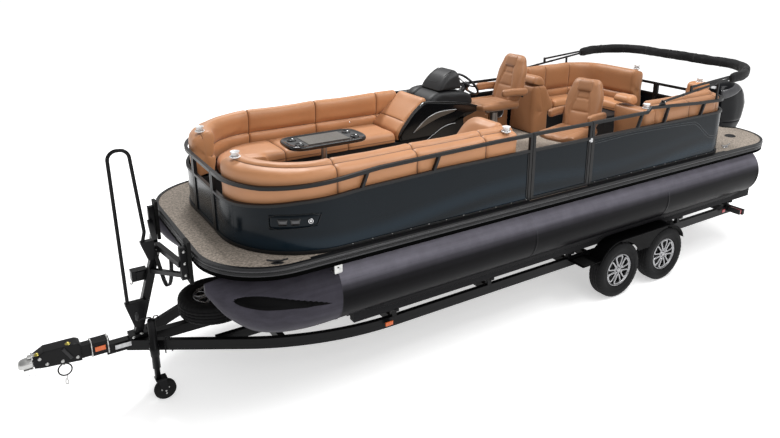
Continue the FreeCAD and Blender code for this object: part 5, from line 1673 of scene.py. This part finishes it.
def make_rim(name, place, out, body):
    """Six pairs of machined spokes round dark windows, with a deep barrel, lug nuts and a centre cap."""
    turn = Vector((0, 0, 1)).rotation_difference(out).to_matrix()
    where = Vector(place)
    lathe(name + "_barrel", [(0.200, -0.074), (0.204, -0.070), (0.203, 0.060), (0.2045, 0.074),
        (0.199, 0.077), (0.194, 0.074), (0.190, 0.060), (0.176, 0.030), (0.170, -0.040), (0.188, -0.066),
        (0.200, -0.074)], "enamel", where, out, body, 72)
    parts = [lathe("lip", [(0.2035, 0.0745), (0.200, 0.0785), (0.195, 0.0765), (0.190, 0.0625),
        (0.187, 0.0600)], "machined", where, out, body, 72),
        lathe("disc", [(0.0, 0.050), (0.060, 0.050), (0.064, 0.056), (0.050, 0.064), (0.036, 0.066),
        (0.034, 0.060), (0.0, 0.060)], "machined", where, out, body, 40)]
    for n in range(6):
        spin = Matrix.Rotation(TAU * n / 6, 3, "Z")
        loop = [(-0.021, 0.060), (0.021, 0.060), (0.036, 0.092), (0.057, 0.148), (0.052, 0.177),
            (0.026, 0.188), (-0.026, 0.188), (-0.052, 0.177), (-0.057, 0.148), (-0.036, 0.092)]
        line = closed_curve(loop, 0.014)
        rows = []
        for height, grow in ((0.048, 0.004), (0.068, 0.002), (0.0725, -0.002), (0.0725, -0.0155),
                (0.066, -0.0175), (0.046, -0.0175)):
            row = []
            for i, (a, b, _) in enumerate(line):
                ahead = line[(i + 1) % len(line)]
                behind = line[i - 1]
                side = Vector((ahead[1] - behind[1], behind[0] - ahead[0])).normalized()
                dome = 0.004 * (1 - (b / 0.19))
                row.append(where + turn @ (spin @ Vector((a + side.x * grow, b + side.y * grow,
                    height + dome))))
            rows.append(row)
        parts.append(shell("spoke", rows, "machined", body, caps=False))
    whole = join(parts, name + "_face")
    nuts = []
    for n in range(6):
        angle = TAU * (n + 0.5) / 6
        spot = where + turn @ Vector((0.047 * math.cos(angle), 0.047 * math.sin(angle), 0))
        nuts.append(lathe("nut", [(0.0, 0.079), (0.005, 0.078), (0.0075, 0.072), (0.0075, 0.060)], "steel",
            spot, out, body, 12))
    nuts.append(lathe("cap", [(0.0, 0.0795), (0.018, 0.079), (0.028, 0.075), (0.031, 0.066),
        (0.031, 0.058)], "machined", where, out, body, 32))
    join(nuts, name + "_nuts")
    lathe(name + "_hub", [(0.0, 0.040), (0.100, 0.036), (0.150, 0.020), (0.172, 0.010)], "plastic", where,
        out, body, 48)
    return whole


for axle, x in AXLES:
    for sign, side in SIDES:
        body = axle + "_wheel_" + side
        place = (x, sign * 1.154, WHEEL_R)
        out = Vector((0, sign, 0))
        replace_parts(make_tyre(body + "_tyre", place, out, body), axle + "_tyre_" + side)
        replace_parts(make_rim(body + "_rim", place, out, body), axle + "_rim_" + side)
SPARE_PLACE = (3.380, 0, 0.720)
spare = make_tyre("spare_tyre", SPARE_PLACE, Vector((0, 0, 1)), "boat")
make_rim("spare_rim", SPARE_PLACE, Vector((0, 0, 1)), "boat")
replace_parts(spare, "spare_wheel")


# ---------------------------------------------------------------- outboard
MOTOR = "outboard_motor"
SHAFT_Z = 0.620               # height of the propeller's shaft
COWL_SEAM = 1.4875


def outline_at(points, z):
    """Place along the boat where a line of (x, z) points, ordered by height, reaches z."""
    for (x0, z0), (x1, z1) in zip(points, points[1:]):
        if z0 <= z <= z1:
            t = (z - z0) / (z1 - z0)
            return x0 + (x1 - x0) * t
    return points[-1][0] if z > points[-1][1] else points[0][0]


FORE = [(-4.465, 1.345), (-4.437, 1.416), (-4.405, 1.600), (-4.370, 1.820), (-4.366, 1.900),
    (-4.380, 1.980), (-4.420, 2.035), (-4.500, 2.072), (-4.600, 2.092)]
AFT = [(-4.930, 1.345), (-4.965, 1.385), (-5.050, 1.540), (-5.093, 1.680), (-5.096, 1.740), (-5.040, 1.870),
    (-4.955, 1.970), (-4.860, 2.035), (-4.760, 2.070), (-4.640, 2.092)]


def cowl_ring(z, grow=0.0, count=96):
    """Level section of the cowl, grown outwards."""
    fore = outline_at(FORE, z) + grow
    aft = outline_at(AFT, z) - grow
    wide = 0.238 * (1 - 0.10 * smooth_step(1.50, 1.345, z))
    wide *= math.sqrt(max(0.05, 1 - max(0.0, (z - 1.90) / 0.215) ** 2.4))
    middle = (fore + aft) / 2
    half = (fore - aft) / 2
    ring = []
    for a, b in super_ring(half, wide + grow, 2.9, count):
        # narrower ahead, fuller over the powerhead
        taper = 1 - 0.10 * smooth_step(0.1, 0.9, a / half) - 0.16 * smooth_step(-0.35, -1.0, a / half)
        ring.append(Vector((middle + a, b * taper, z)))
    return ring


def make_cowl_skin():
    """Cowl with its seam, a band on each flank and a latch aft."""
    heights = [1.345, 1.350] + spread(1.365, 1.484, 5) + [COWL_SEAM]
    heights += spread(1.491, 1.880, 16) + spread(1.895, 2.070, 18) + [2.080, 2.088, 2.0915]
    rings = []
    for z in heights:
        seam = groove(z - COWL_SEAM, 0.0035) * 0.006
        rings.append(cowl_ring(z, -seam))
    cowl = shell("cowl_shell", rings, "motor", MOTOR)
    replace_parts(cowl, "outboard_cowl")
    # grey band that wraps down each flank, standing just off the shell
    for sign, side in SIDES:
        rows = []
        for k in range(25):
            t = k / 24
            row = []
            for j in range(7):
                # the band leans aft as it rises, and stops short of the shell's aft edge
                z = 1.905 + 0.150 * t ** 0.9 + 0.070 * (1 - 0.55 * t) * (j / 6 - 0.5) * 2
                z = min(z, 2.055)
                aft = max(-5.025, outline_at(AFT, z) + 0.04)
                x = -4.405 + (aft + 4.405) * t
                ring = cowl_ring(z, 0.0015, 160)
                best = min((p for p in ring if p.y * sign > 0), key=lambda p: abs(p.x - x))
                row.append(Vector((x, best.y, z)))
            rows.append(row)
        band = shell("cowl_band_" + side, rows, "inlay", MOTOR, caps=False, around=False)
        thick = band.modifiers.new("thick", "SOLIDIFY")
        thick.thickness = 0.003
        thick.offset = 0
    lathe("cowl_latch", [(0.0, 0.012), (0.020, 0.011), (0.024, 0.006), (0.026, 0.0)], "plastic",
        (-5.088, 0, 1.620), (-1, 0, 0.15), MOTOR, 20)


make_cowl_skin()


def loft_leg():
    """Tapering midsection with the gearcase, plate, skeg and mounts."""
    rows = []
    for z, fore, aft, wide in ((1.470, -4.470, -4.868, 0.088), (1.430, -4.505, -4.858, 0.078),
            (1.300, -4.522, -4.838, 0.071), (1.100, -4.545, -4.812, 0.068), (0.960, -4.556, -4.798, 0.062),
            (0.870, -4.560, -4.796, 0.050), (0.830, -4.545, -4.800, 0.034), (0.812, -4.535, -4.790, 0.024),
            (0.740, -4.525, -4.780, 0.019), (0.665, -4.500, -4.785, 0.024), (0.640, -4.470, -4.795, 0.030)):
        middle = (fore + aft) / 2
        rows.append([Vector((middle + a, b, z)) for a, b in super_ring((fore - aft) / 2, wide, 2.3, 48)])
    leg = shell("midsection", rows, "motor", MOTOR)
    lathe("gearcase", [(0.0, 0.425), (0.010, 0.422), (0.026, 0.400), (0.043, 0.355), (0.053, 0.300),
        (0.056, 0.220), (0.055, 0.080), (0.052, 0.006), (0.0, 0.004)], "motor", (-4.800, 0, SHAFT_Z),
        (1, 0, 0), MOTOR, 36)
    plate = [Vector((x, y, 0)) for x, y in ((-4.545, 0.0), (-4.600, 0.070), (-4.700, 0.105),
        (-4.900, 0.108), (-4.955, 0.090), (-4.958, 0.0))]
    plate += [Vector((p.x, -p.y, 0)) for p in plate[-2:0:-1]]
    rows = [[p + Vector((0, 0, z)) for p in plate] for z in (0.813, 0.815, 0.823, 0.825)]
    shell("antiventilation_plate", rows, "motor", MOTOR)
    fin = [(-4.505, 0.600), (-4.560, 0.520), (-4.650, 0.445), (-4.735, 0.442), (-4.752, 0.520),
        (-4.755, 0.600)]
    rows = [[Vector((x, y, z)) for x, z in fin] for y in (-0.006, -0.004, 0.004, 0.006)]
    shell("skeg", rows, "motor", MOTOR)
    block("mount_pan", (-4.898, -0.094, 1.466), (-4.408, 0.094, 1.497), "enamel", MOTOR, 0.012)
    lathe("steering_tube", [(0.0, -0.36), (0.021, -0.36), (0.021, 0.02), (0.0, 0.02)], "satin",
        (-4.450, 0, 1.455), (0, 0, 1), MOTOR, 20)
    block("lower_yoke", (-4.698, -0.049, 1.062), (-4.408, 0.049, 1.103), "enamel", MOTOR, 0.010)
    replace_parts(leg, "outboard_leg")


loft_leg()


def make_propeller():
    """Three cupped blades on a flared hub."""
    hub = lathe("propeller_hub", [(0.0, 0.0), (0.047, 0.0), (0.052, 0.012), (0.048, 0.050), (0.046, 0.088),
        (0.0, 0.089)], "steel", (-4.895, 0, SHAFT_Z), (1, 0, 0), "propeller", 32)
    blades = []
    for n in range(3):
        spin = Matrix.Rotation(TAU * n / 3, 3, "X")
        rows = []
        for r, chord, sweep_back in ((0.044, 0.040, 0.0), (0.075, 0.058, 0.010), (0.110, 0.068, 0.020),
                (0.142, 0.058, 0.030), (0.160, 0.036, 0.036), (0.168, 0.014, 0.038)):
            pitch = math.atan2(0.062, r)
            row = []
            for a, b in super_ring(chord, 0.0035, 2.0, 20):
                along = a + sweep_back * 0.5
                row.append(Vector((-4.850, 0, SHAFT_Z))
                    + spin @ Vector((along * math.sin(pitch) + b * math.cos(pitch),
                    along * math.cos(pitch) - b * math.sin(pitch), r)))
            rows.append(row)
        blades.append(shell("blade", rows, "steel", "propeller"))
    join(blades, "propeller_blades")
    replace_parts(hub, "propeller")


make_propeller()


# ---------------------------------------------------------------- trailer fittings
def bolts(name, places, axis, size=0.011, material="zinc", body="boat"):
    """Domed bolt heads on round washers, joined into one piece."""
    profile = [(0.0, size * 0.95), (size * 0.8, size * 0.9), (size * 0.95, size * 0.15),
        (size * 1.5, size * 0.14), (size * 1.5, 0.0)]
    join([lathe("bolt", profile, material, place, axis, body, 12) for place in places], name)


# coupler: folded black shroud, bright nose with its latch, two bright bands and a lens between them
HALF = 0.066
side_view = [(4.606, 0.515, 1), (4.603, 0.672, 1), (4.640, 0.694), (4.890, 0.700, 1), (4.978, 0.648, 1),
    (4.978, 0.562, 1), (4.900, 0.545)]
rounded_prism("coupler_shroud", side_view, -HALF, HALF, "chassis", end_round=0.006, pitch=0.05, fine=0)
rows = []
for x, wide, low, high in ((4.965, 0.052, 0.560, 0.640), (5.000, 0.054, 0.558, 0.642),
        (5.040, 0.056, 0.556, 0.642), (5.070, 0.050, 0.558, 0.636), (5.088, 0.036, 0.562, 0.624),
        (5.097, 0.016, 0.572, 0.606)):
    rows.append([Vector((x, a, (low + high) / 2 + b))
        for a, b in super_ring(wide, (high - low) / 2, 2.8, 36)])
nose = shell("coupler_nose", rows, "zinc")
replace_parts(nose, "coupler")
block("coupler_lip", (4.985, -0.050, 0.552), (5.060, 0.050, 0.562), "zinc", bevel=0.004)
latch = [block("latch", (4.945, -0.022, 0.644), (5.020, 0.022, 0.664), "zinc", bevel=0.005),
    tube("pin", [(4.985, -0.060, 0.655), (4.985, 0.062, 0.655)], 0.006, "zinc")]
join(latch, "coupler_latch")
bands = []
for x in (4.520, 4.384):
    ring = [Vector((x, a, 0.580 + b)) for a, b in super_ring(0.0625, 0.067, 12, 48)]
    bands.append(tube("band", ring, 0.006, "zinc", cyclic=True, sides=8))
join(bands, "tongue_bands")
block("tongue_sleeve", (4.375, -0.0605, 0.518), (4.530, 0.0605, 0.644), "chassis", bevel=0.004)
for sign, side in SIDES:
    block("tongue_lens_" + side, (4.408, sign * 0.0600, 0.560), (4.496, sign * 0.0690, 0.606), "amber",
        bevel=0.0035)
    block("tongue_label_" + side, (4.085, sign * 0.0560, 0.520), (4.330, sign * 0.0575, 0.562), "label",
        bevel=0.0005)
    shroud_bolts = [(x, sign * HALF, z) for x, z in ((4.640, 0.560), (4.760, 0.560), (4.880, 0.575),
        (4.930, 0.640))]
    bolts("shroud_bolts_" + side, shroud_bolts, (0, sign, 0), 0.010)
    block("shroud_lever_" + side, (4.700, sign * 0.066, 0.560), (4.730, sign * 0.078, 0.690), "plastic",
        bevel=0.006, turn=Matrix.Rotation(math.radians(28), 3, "Y"))
bolts("coupler_caps", [(4.700, 0.030, 0.696), (4.945, 0.030, 0.672)], (0, 0, 1), 0.016, "brass")

# towing ring with its hanging shackle, and the spring clip below
ring_line = [(4.752 + 0.055 * math.sin(a), 0.030, 0.455 + 0.058 * math.cos(a))
    for a in (TAU * k / 32 for k in range(32))]
tube("tow_ring", ring_line, 0.0065, "chassis", cyclic=True)
tube("tow_shackle", [(4.752, 0.030, 0.550), (4.735, 0.030, 0.520), (4.752, 0.030, 0.500),
    (4.772, 0.030, 0.520), (4.752, 0.030, 0.550)], 0.007, "zinc", smooth=2)
tube("tow_hook", [(4.752, 0.030, 0.402), (4.742, 0.030, 0.385), (4.748, 0.030, 0.360),
    (4.738, 0.030, 0.315), (4.752, 0.030, 0.300), (4.766, 0.030, 0.318), (4.757, 0.030, 0.362)], 0.0055,
    "zinc", smooth=2)

# breakaway cable: leaves the shroud's underside, hangs in a loop and is hooked to the nose
wire_route = [(4.935, 0.045, 0.546), (4.943, 0.046, 0.516), (4.966, 0.047, 0.492), (4.997, 0.046, 0.486),
    (5.024, 0.045, 0.500), (5.040, 0.044, 0.526), (5.044, 0.043, 0.552)]
wire_curve = bpy.data.curves.new("breakaway_cable", "CURVE")
wire_curve.dimensions = "3D"
wire_curve.bevel_depth = 0.0025
wire_spline = wire_curve.splines.new("NURBS")
wire_spline.points.add(len(wire_route) - 1)
for point, place in zip(wire_spline.points, wire_route):
    point.co = (*place, 1.0)
wire_spline.order_u = 3
wire_spline.use_endpoint_u = True
wire_spline.resolution_u = 12
wire_curve.materials.append(M["steel"])
wire_piece = add_piece("breakaway_cable", wire_curve, "boat")

# jack: outer tube with its plate and crank, inner leg, fork and wheel
JX, JY = 4.036, 0.266
lathe("jack_tube", [(0.029, 0.343), (0.0345, 0.345), (0.0345, 0.470), (0.041, 0.474), (0.041, 0.566),
    (0.0345, 0.570), (0.0345, 0.828), (0.030, 0.842), (0.0, 0.845)], "chassis", (JX, JY, 0))
block("jack_plate", (JX - 0.030, 0.172, 0.476), (JX + 0.030, JY - 0.030, 0.564), "chassis", bevel=0.004)
crank = [tube("arm", [(JX, JY, 0.842), (JX, JY, 0.862), (JX + 0.02, JY, 0.868), (JX + 0.115, JY, 0.868)],
    0.0065, "chassis", smooth=1),
    lathe("grip", [(0.0, 0.0), (0.013, 0.003), (0.015, 0.035), (0.012, 0.070), (0.0, 0.074)], "plastic",
    (JX + 0.112, JY, 0.872), (0, 0, 1), steps=16)]
column = join(crank, "jack_crank")
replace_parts(column, "jack_column")
bolts("jack_bolts", [(JX + 0.022, JY - 0.065, 0.520), (JX - 0.022, JY - 0.065, 0.520)], (0, 1, 0), 0.008)
lathe("jack_inner_leg", [(0.0, 0.232), (0.0255, 0.232), (0.0255, 0.700), (0.0, 0.700)], "chassis",
    (JX, JY, 0), body="jack_caster")
fork = [block("crown", (JX - 0.075, JY - 0.044, 0.216), (JX + 0.028, JY + 0.044, 0.236), "chassis",
    "jack_caster", 0.005)]
for y in (JY - 0.038, JY + 0.038):
    cheek = [(JX - 0.078, 0.105), (JX - 0.070, 0.088), (JX - 0.050, 0.080), (JX - 0.030, 0.088),
        (JX - 0.022, 0.105), (JX + 0.016, 0.222), (JX - 0.066, 0.222)]
    rows = [[Vector((x, y + d, z)) for x, z in cheek] for d in (-0.0028, 0.0028)]
    fork.append(shell("cheek", rows, "chassis", "jack_caster", smooth=False))
fork.append(tube("axle", [(JX - 0.050, JY - 0.046, 0.100), (JX - 0.050, JY + 0.046, 0.100)], 0.0075, "zinc",
    "jack_caster"))
whole = join(fork, "jack_fork")
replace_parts(whole, "jack_caster")
roller = lathe("jack_wheel_tread", [(0.010, -0.030), (0.050, -0.030), (0.056, -0.026), (0.080, -0.027),
    (0.094, -0.024), (0.0995, -0.014), (0.0995, 0.014), (0.094, 0.024), (0.080, 0.027), (0.056, 0.026),
    (0.050, 0.030), (0.010, 0.030), (0.010, -0.030)], "rubber", (JX - 0.050, JY, 0.100), (0, 1, 0),
    "jack_wheel", 48)
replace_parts(roller, "jack_wheel")
bolts("jack_wheel_bolts", [(JX - 0.050 + 0.035 * math.cos(a), JY + 0.030, 0.100 + 0.035 * math.sin(a))
    for a in (0.4, 2.5, 4.6)], (0, 1, 0), 0.006, "zinc", "jack_wheel")

# winch: cheeks, ratchet wheel and crank; its strap loops from the post to a hook on the bow stop's arm
WINCH_X, WINCH_Z = 4.030, 1.140
for y in (-0.128, -0.060):
    lathe("winch_cheek", [(0.0, 0.005), (0.050, 0.005), (0.054, 0.0), (0.050, -0.002), (0.0, -0.002)],
        "chassis", (WINCH_X, y, WINCH_Z), (0, 1, 0), steps=32)
lathe("winch_ratchet", [(0.0, 0.012), (0.030, 0.012), (0.034, 0.008), (0.034, 0.0), (0.0, 0.0)], "zinc",
    (WINCH_X, -0.136, WINCH_Z), (0, -1, 0), steps=16)
tube("winch_handle", [(WINCH_X, -0.150, WINCH_Z), (4.055, -0.160, 1.100), (4.090, -0.162, 1.010),
    (4.092, -0.215, 1.004)], 0.008, "zinc", smooth=2)
strap_line = [Vector(p) for p in ((3.905, 0.046, 1.420), (3.886, 0.060, 1.340), (3.868, 0.076, 1.220),
    (3.852, 0.094, 1.100), (3.836, 0.120, 1.045), (3.818, 0.150, 1.060), (3.804, 0.178, 1.140),
    (3.796, 0.198, 1.250), (3.795, 0.210, 1.345))]


def strap(name, line, width, thick, material):
    """Flat webbing along a line, its width lying fore and aft."""
    rings = []
    for i, p in enumerate(line):
        way = (line[min(i + 1, len(line) - 1)] - line[max(i - 1, 0)]).normalized()
        flat = Vector((1, 0, 0))
        flat = (flat - way * flat.dot(way)).normalized()
        out = way.cross(flat)
        rings.append([p + flat * a + out * b for a, b in super_ring(width / 2, thick / 2, 4.0, 12)])
    return shell(name, rings, material)


fine_line = [strap_line[0]]
for a, b in zip(strap_line, strap_line[1:]):
    fine_line += [a.lerp(b, 0.5), b]
for _ in range(2):
    fine_line = [fine_line[0]] + [(fine_line[i - 1] + fine_line[i] * 2 + fine_line[i + 1]) / 4
        for i in range(1, len(fine_line) - 1)] + [fine_line[-1]]
strap_piece = strap("winch_strap", fine_line, 0.036, 0.004, "webbing")
tube("strap_hook", [(3.795, 0.210, 1.345), (3.790, 0.215, 1.368), (3.800, 0.212, 1.384),
    (3.812, 0.206, 1.372)], 0.005, "zinc", smooth=2)
bolts("post_bolts", [(3.880 + dx, 0.0365, 1.400 + dz)
    for dx, dz in ((0.0, 0.0), (0.030, -0.060), (-0.012, -0.05))], (0, 1, 0), 0.009)
bolts("post_foot_bolts", [(4.095, 0.0605, 0.612), (4.165, 0.0605, 0.592)], (0, 1, 0), 0.010)
clamps = [tube("clamp", [(3.875, y, 0.440), (3.875, y, 0.595), (3.935, y, 0.600), (3.935, y, 0.440)], 0.006,
    "chassis", smooth=1) for y in (0.225, -0.225)]
join(clamps, "tongue_clamps")
for sign, side in SIDES:
    bolts("pad_bolts_" + side, [(3.765, sign * 0.586, z) for z in (1.34, 1.45, 1.56)], (0, sign, 0), 0.009)

# lamps: amber markers forward, red markers and tail lamps aft; and a step ahead of each fender
for sign, side in SIDES:
    for name, x, z, half, material in (("marker_front_", 2.010, 0.530, 0.042, "amber"),
            ("marker_aft_", -3.431, 0.540, 0.028, "red")):
        block(name + side, (x - half, sign * 1.025, z - 0.022), (x + half, sign * 1.039, z + 0.022),
            material, bevel=0.004)
    block("tail_lamp_" + side, (-3.640, sign * 0.985, 0.497), (-3.604, sign * 1.172, 0.556), "red",
        bevel=0.006)
    block("tail_lamp_case_" + side, (-3.608, sign * 0.981, 0.492), (-3.586, sign * 1.176, 0.561), "plastic",
        bevel=0.004)
    block("fender_step_front_" + side, (-0.648, sign * 1.035, 0.553), (-0.470, sign * 1.225, 0.562),
        "rubber")
ids = [block("lamp", (-3.606, y - 0.022, 0.520), (-3.592, y + 0.022, 0.536), "red", bevel=0.003)
    for y in (-0.07, 0.0, 0.07)]
join(ids, "identification_lamps")

# rolled outer lip along both fenders
LIP_R = 0.388
for sign, side in SIDES:
    lip = []
    for (_, x), low, high in zip(AXLES, (-20, 90), (90, 200)):
        lip += [(x + LIP_R * math.cos(a), sign * 1.237, WHEEL_R + LIP_R * math.sin(a))
            for a in spread(math.radians(low), math.radians(high), 14)]
    lip = [p for p in lip if p[2] > 0.506]
    tube("fender_lip_" + side, lip, 0.008, "guard", sides=8)


# ---------------------------------------------------------------- fence details
SKIN_Y = 1.2345               # outer face of the panels
BOW_AT = (2.575, 0.420)       # centre of the bow corner
BOW_SKIN_R = 0.8145           # and the radius of the skin there


def on_corner(angle, z, out=0.0):
    """Point on the bow corner's skin, angle degrees from dead ahead towards port."""
    a = math.radians(angle)
    r = BOW_SKIN_R + out
    return Vector((BOW_AT[0] + r * math.cos(a), BOW_AT[1] + r * math.sin(a), z))


def corner_patch(name, corners, low, high, material):
    """Curved plate on the bow corner; corners are (angle, z): fore top, fore low, aft top, aft low."""
    rows = []
    for n in range(17):
        t = n / 16
        angle = corners[0][0] + (corners[2][0] - corners[0][0]) * t
        foot = corners[1][0] + (corners[3][0] - corners[1][0]) * t
        top = corners[0][1] + (corners[2][1] - corners[0][1]) * t
        bottom = corners[1][1] + (corners[3][1] - corners[1][1]) * t
        spots = [(foot + (angle - foot) * k / 4, bottom + (top - bottom) * k / 4) for k in range(5)]
        row = [on_corner(a, z, high) for a, z in spots]
        rows.append(row + [on_corner(a, z, low) for a, z in spots[::-1]])
    return shell(name, rows, material)


def rounded_quad(corners, share=0.16):
    """Four-sided outline whose corners are rounded over that share of each side."""
    out = []
    for n, here in enumerate(corners):
        before, after = corners[n - 1], corners[(n + 1) % len(corners)]
        for k in range(5):
            t = k / 4
            a = (here[0] + (before[0] - here[0]) * share * (1 - t),
                here[1] + (before[1] - here[1]) * share * (1 - t))
            b = (here[0] + (after[0] - here[0]) * share * t, here[1] + (after[1] - here[1]) * share * t)
            out.append((a[0] + b[0] - here[0], a[1] + b[1] - here[1]))
    return out


def flipped(piece, name):
    """Starboard twin of a fitting on the port side."""
    mesh = piece.data.copy()
    mesh.transform(Matrix.Scale(-1, 4, (0, 1, 0)))
    mesh.flip_normals()
    add_piece(name, mesh, "boat")


# docking lights: two square lamps and a round one on a shallow plate at each bow corner
recess = ((45, 1.905), (45, 1.770), (76.5, 1.916), (73.5, 1.802))
plate = corner_patch("docking_plate_port", recess, -0.003, 0.0008, "fence")
flipped(plate, "docking_plate_starboard")
outline = [recess[0], recess[2], recess[3], recess[1]]
loop = []
quad = rounded_quad(outline)
for a, b in zip(quad, quad[1:] + quad[:1]):
    steps = max(1, round(abs(a[0] - b[0]) / 2.0))
    loop += [on_corner(a[0] + (b[0] - a[0]) * k / steps, a[1] + (b[1] - a[1]) * k / steps, 0.001)
        for k in range(steps)]
bezel = tube("docking_bezel_port", loop, 0.0035, "rail", cyclic=True, sides=8)
flipped(bezel, "docking_bezel_starboard")
for angle, z, width in ((53.25, 1.840, 3.1), (60.75, 1.845, 3.1)):
    lamp = ((angle - width, z + 0.030), (angle - width + 0.8, z - 0.028), (angle + width, z + 0.032),
        (angle + width - 0.8, z - 0.026))
    piece = corner_patch("docking_lamp_port_%d" % angle, lamp, 0.000, 0.0045, "gloss")
    flipped(piece, "docking_lamp_starboard_%d" % angle)
    lens = tuple((angle + (a - angle) * 0.72, z + (b - z) * 0.62) for a, b in lamp)
    piece = corner_patch("docking_lens_port_%d" % angle, lens, 0.003, 0.0058, "lens")
    flipped(piece, "docking_lens_starboard_%d" % angle)
at = on_corner(69.75, 1.852, 0.0)
outward = on_corner(69.75, 1.852, 1.0) - at
round_lamp = join([lathe("ring", [(0.016, 0.001), (0.022, 0.003), (0.0235, 0.008), (0.020, 0.012),
    (0.016, 0.009)], "steel", at, outward, steps=28),
    lathe("dish", [(0.0, 0.006), (0.010, 0.007), (0.017, 0.010)], "lens", at, outward, steps=28),
    lathe("globe", [(0.0, 0.014), (0.005, 0.013), (0.009, 0.010), (0.010, 0.006)], "clear", at, outward,
    steps=28)], "bow_lamp_port")
flipped(round_lamp, "bow_lamp_starboard")

# embossed line along the aft panels: level, then stepping down and round the stern corner
# painted highlight: the lines are a lighter grey than the panels, for the highlight along the swage's edges
swage = [(-0.455, 2.045), (-1.192, 2.072), (-2.150, 2.034), (-2.250, 2.015), (-2.470, 1.840),
    (-2.560, 1.800), (-2.620, 1.796)]
for sign, side in SIDES:
    lines = []
    for drop in (0.0, 0.026):
        line = [(x + drop * 0.55, sign * SKIN_Y, z - drop) for x, z in swage]
        line += [(-2.620 - 0.2895 * math.sin(a), sign * (0.945 + 0.2895 * math.cos(a)), 1.796 - drop)
            for a in (math.pi / 2 * k / 10 for k in range(1, 11))]
        lines.append(tube("line", line, 0.0022, "panel_line", sides=6, smooth=1))
    join(lines, "panel_swage_" + side)
# lower rub strip along the foot of the starboard panels
tube("panel_foot_starboard", [(x, -1.2385, 1.604) for x in spread(-2.60, 2.55, 12)], 0.0045, "trim",
    sides=6)

# channels either side of the port gate's posts, rivets along the panels' foot and the gate's latch
for n, x in enumerate((0.487, 0.413, -0.360, -0.441)):
    block("post_channel_%d" % n, (x - 0.014, 1.2335, 1.595), (x + 0.014, 1.2400, 2.066), "trim",
        "side_gate" if -0.4 < x < 0.44 else "boat", bevel=0.002)
rivets = []
for x in spread(-2.500, 2.500, 26):
    if not -0.42 < x < 0.46:
        rivets.append(lathe("rivet", [(0.0, 0.0028), (0.003, 0.0022), (0.0045, 0.0)], "zinc",
            (x, 1.2452, 1.580), (0, 1, 0), steps=10))
join(rivets, "foot_rivets")
block("gate_latch", (-0.404, 1.2452, 2.052), (-0.374, 1.256, 2.094), "label", bevel=0.004)
block("gate_latch_bolt", (-0.372, 1.2452, 2.062), (-0.356, 1.252, 2.080), "label", "side_gate", 0.002)

# upholstered side panel between the helm and the aft lounge, with two pads; the pads' darker tan is painted
# shade
for n, (x0, x1) in enumerate(((-0.980, -0.365), (-1.335, -0.992))):
    bolster("side_pad_%d" % n, [(x0, 1.575, 1), (x0, 1.985), (x0 + 0.022, 2.018), (x1 - 0.022, 2.018),
        (x1, 1.985), (x1, 1.575, 1)], -1.226, -1.180, cap=0.004, end_round=0.018, material="tan_dark")
SPEAKER_PLACE = (-1.160, -1.178, 1.790)
speaker = [lathe("cone", [(0.0, 0.004), (0.025, 0.002), (0.060, 0.010), (0.066, 0.014)], "plastic",
    SPEAKER_PLACE, (0, 1, 0)),
    lathe("ring", [(0.064, 0.0), (0.066, 0.014), (0.074, 0.017), (0.082, 0.010), (0.083, 0.0)], "satin",
    SPEAKER_PLACE, (0, 1, 0))]
join(speaker, "side_speaker")

# knuckles of the bimini arms and the sockets where they enter the boot
PIVOT_X, PIVOT_Z = -1.555, 2.355
for sign, side in SIDES:
    pivot = (PIVOT_X, sign * 1.245, PIVOT_Z)
    knuckle = [lathe("disc", [(0.0, 0.010), (0.010, 0.009), (0.018, 0.006), (0.020, 0.0)], "rail", pivot,
        (0, sign, 0), "bimini_top", 24),
        lathe("screw", [(0.0, 0.014), (0.006, 0.013), (0.008, 0.009)], "zinc", pivot, (0, sign, 0),
        "bimini_top", 12)]
    join(knuckle, "bimini_knuckle_" + side)
    collars = []
    for back in (0.35, 0.62, 0.94):
        x = PIVOT_X - back
        y = sign * 1.235
        z = PIVOT_Z + back * 0.1132
        collars.append(block("collar", (x - 0.020, y - 0.0135, z - 0.0135),
            (x + 0.020, y + 0.0135, z + 0.0135), "plastic", "bimini_top", 0.004,
            Matrix.Rotation(math.radians(6.4), 3, "Y")))
    join(collars, "bimini_collars_" + side)


simulate()
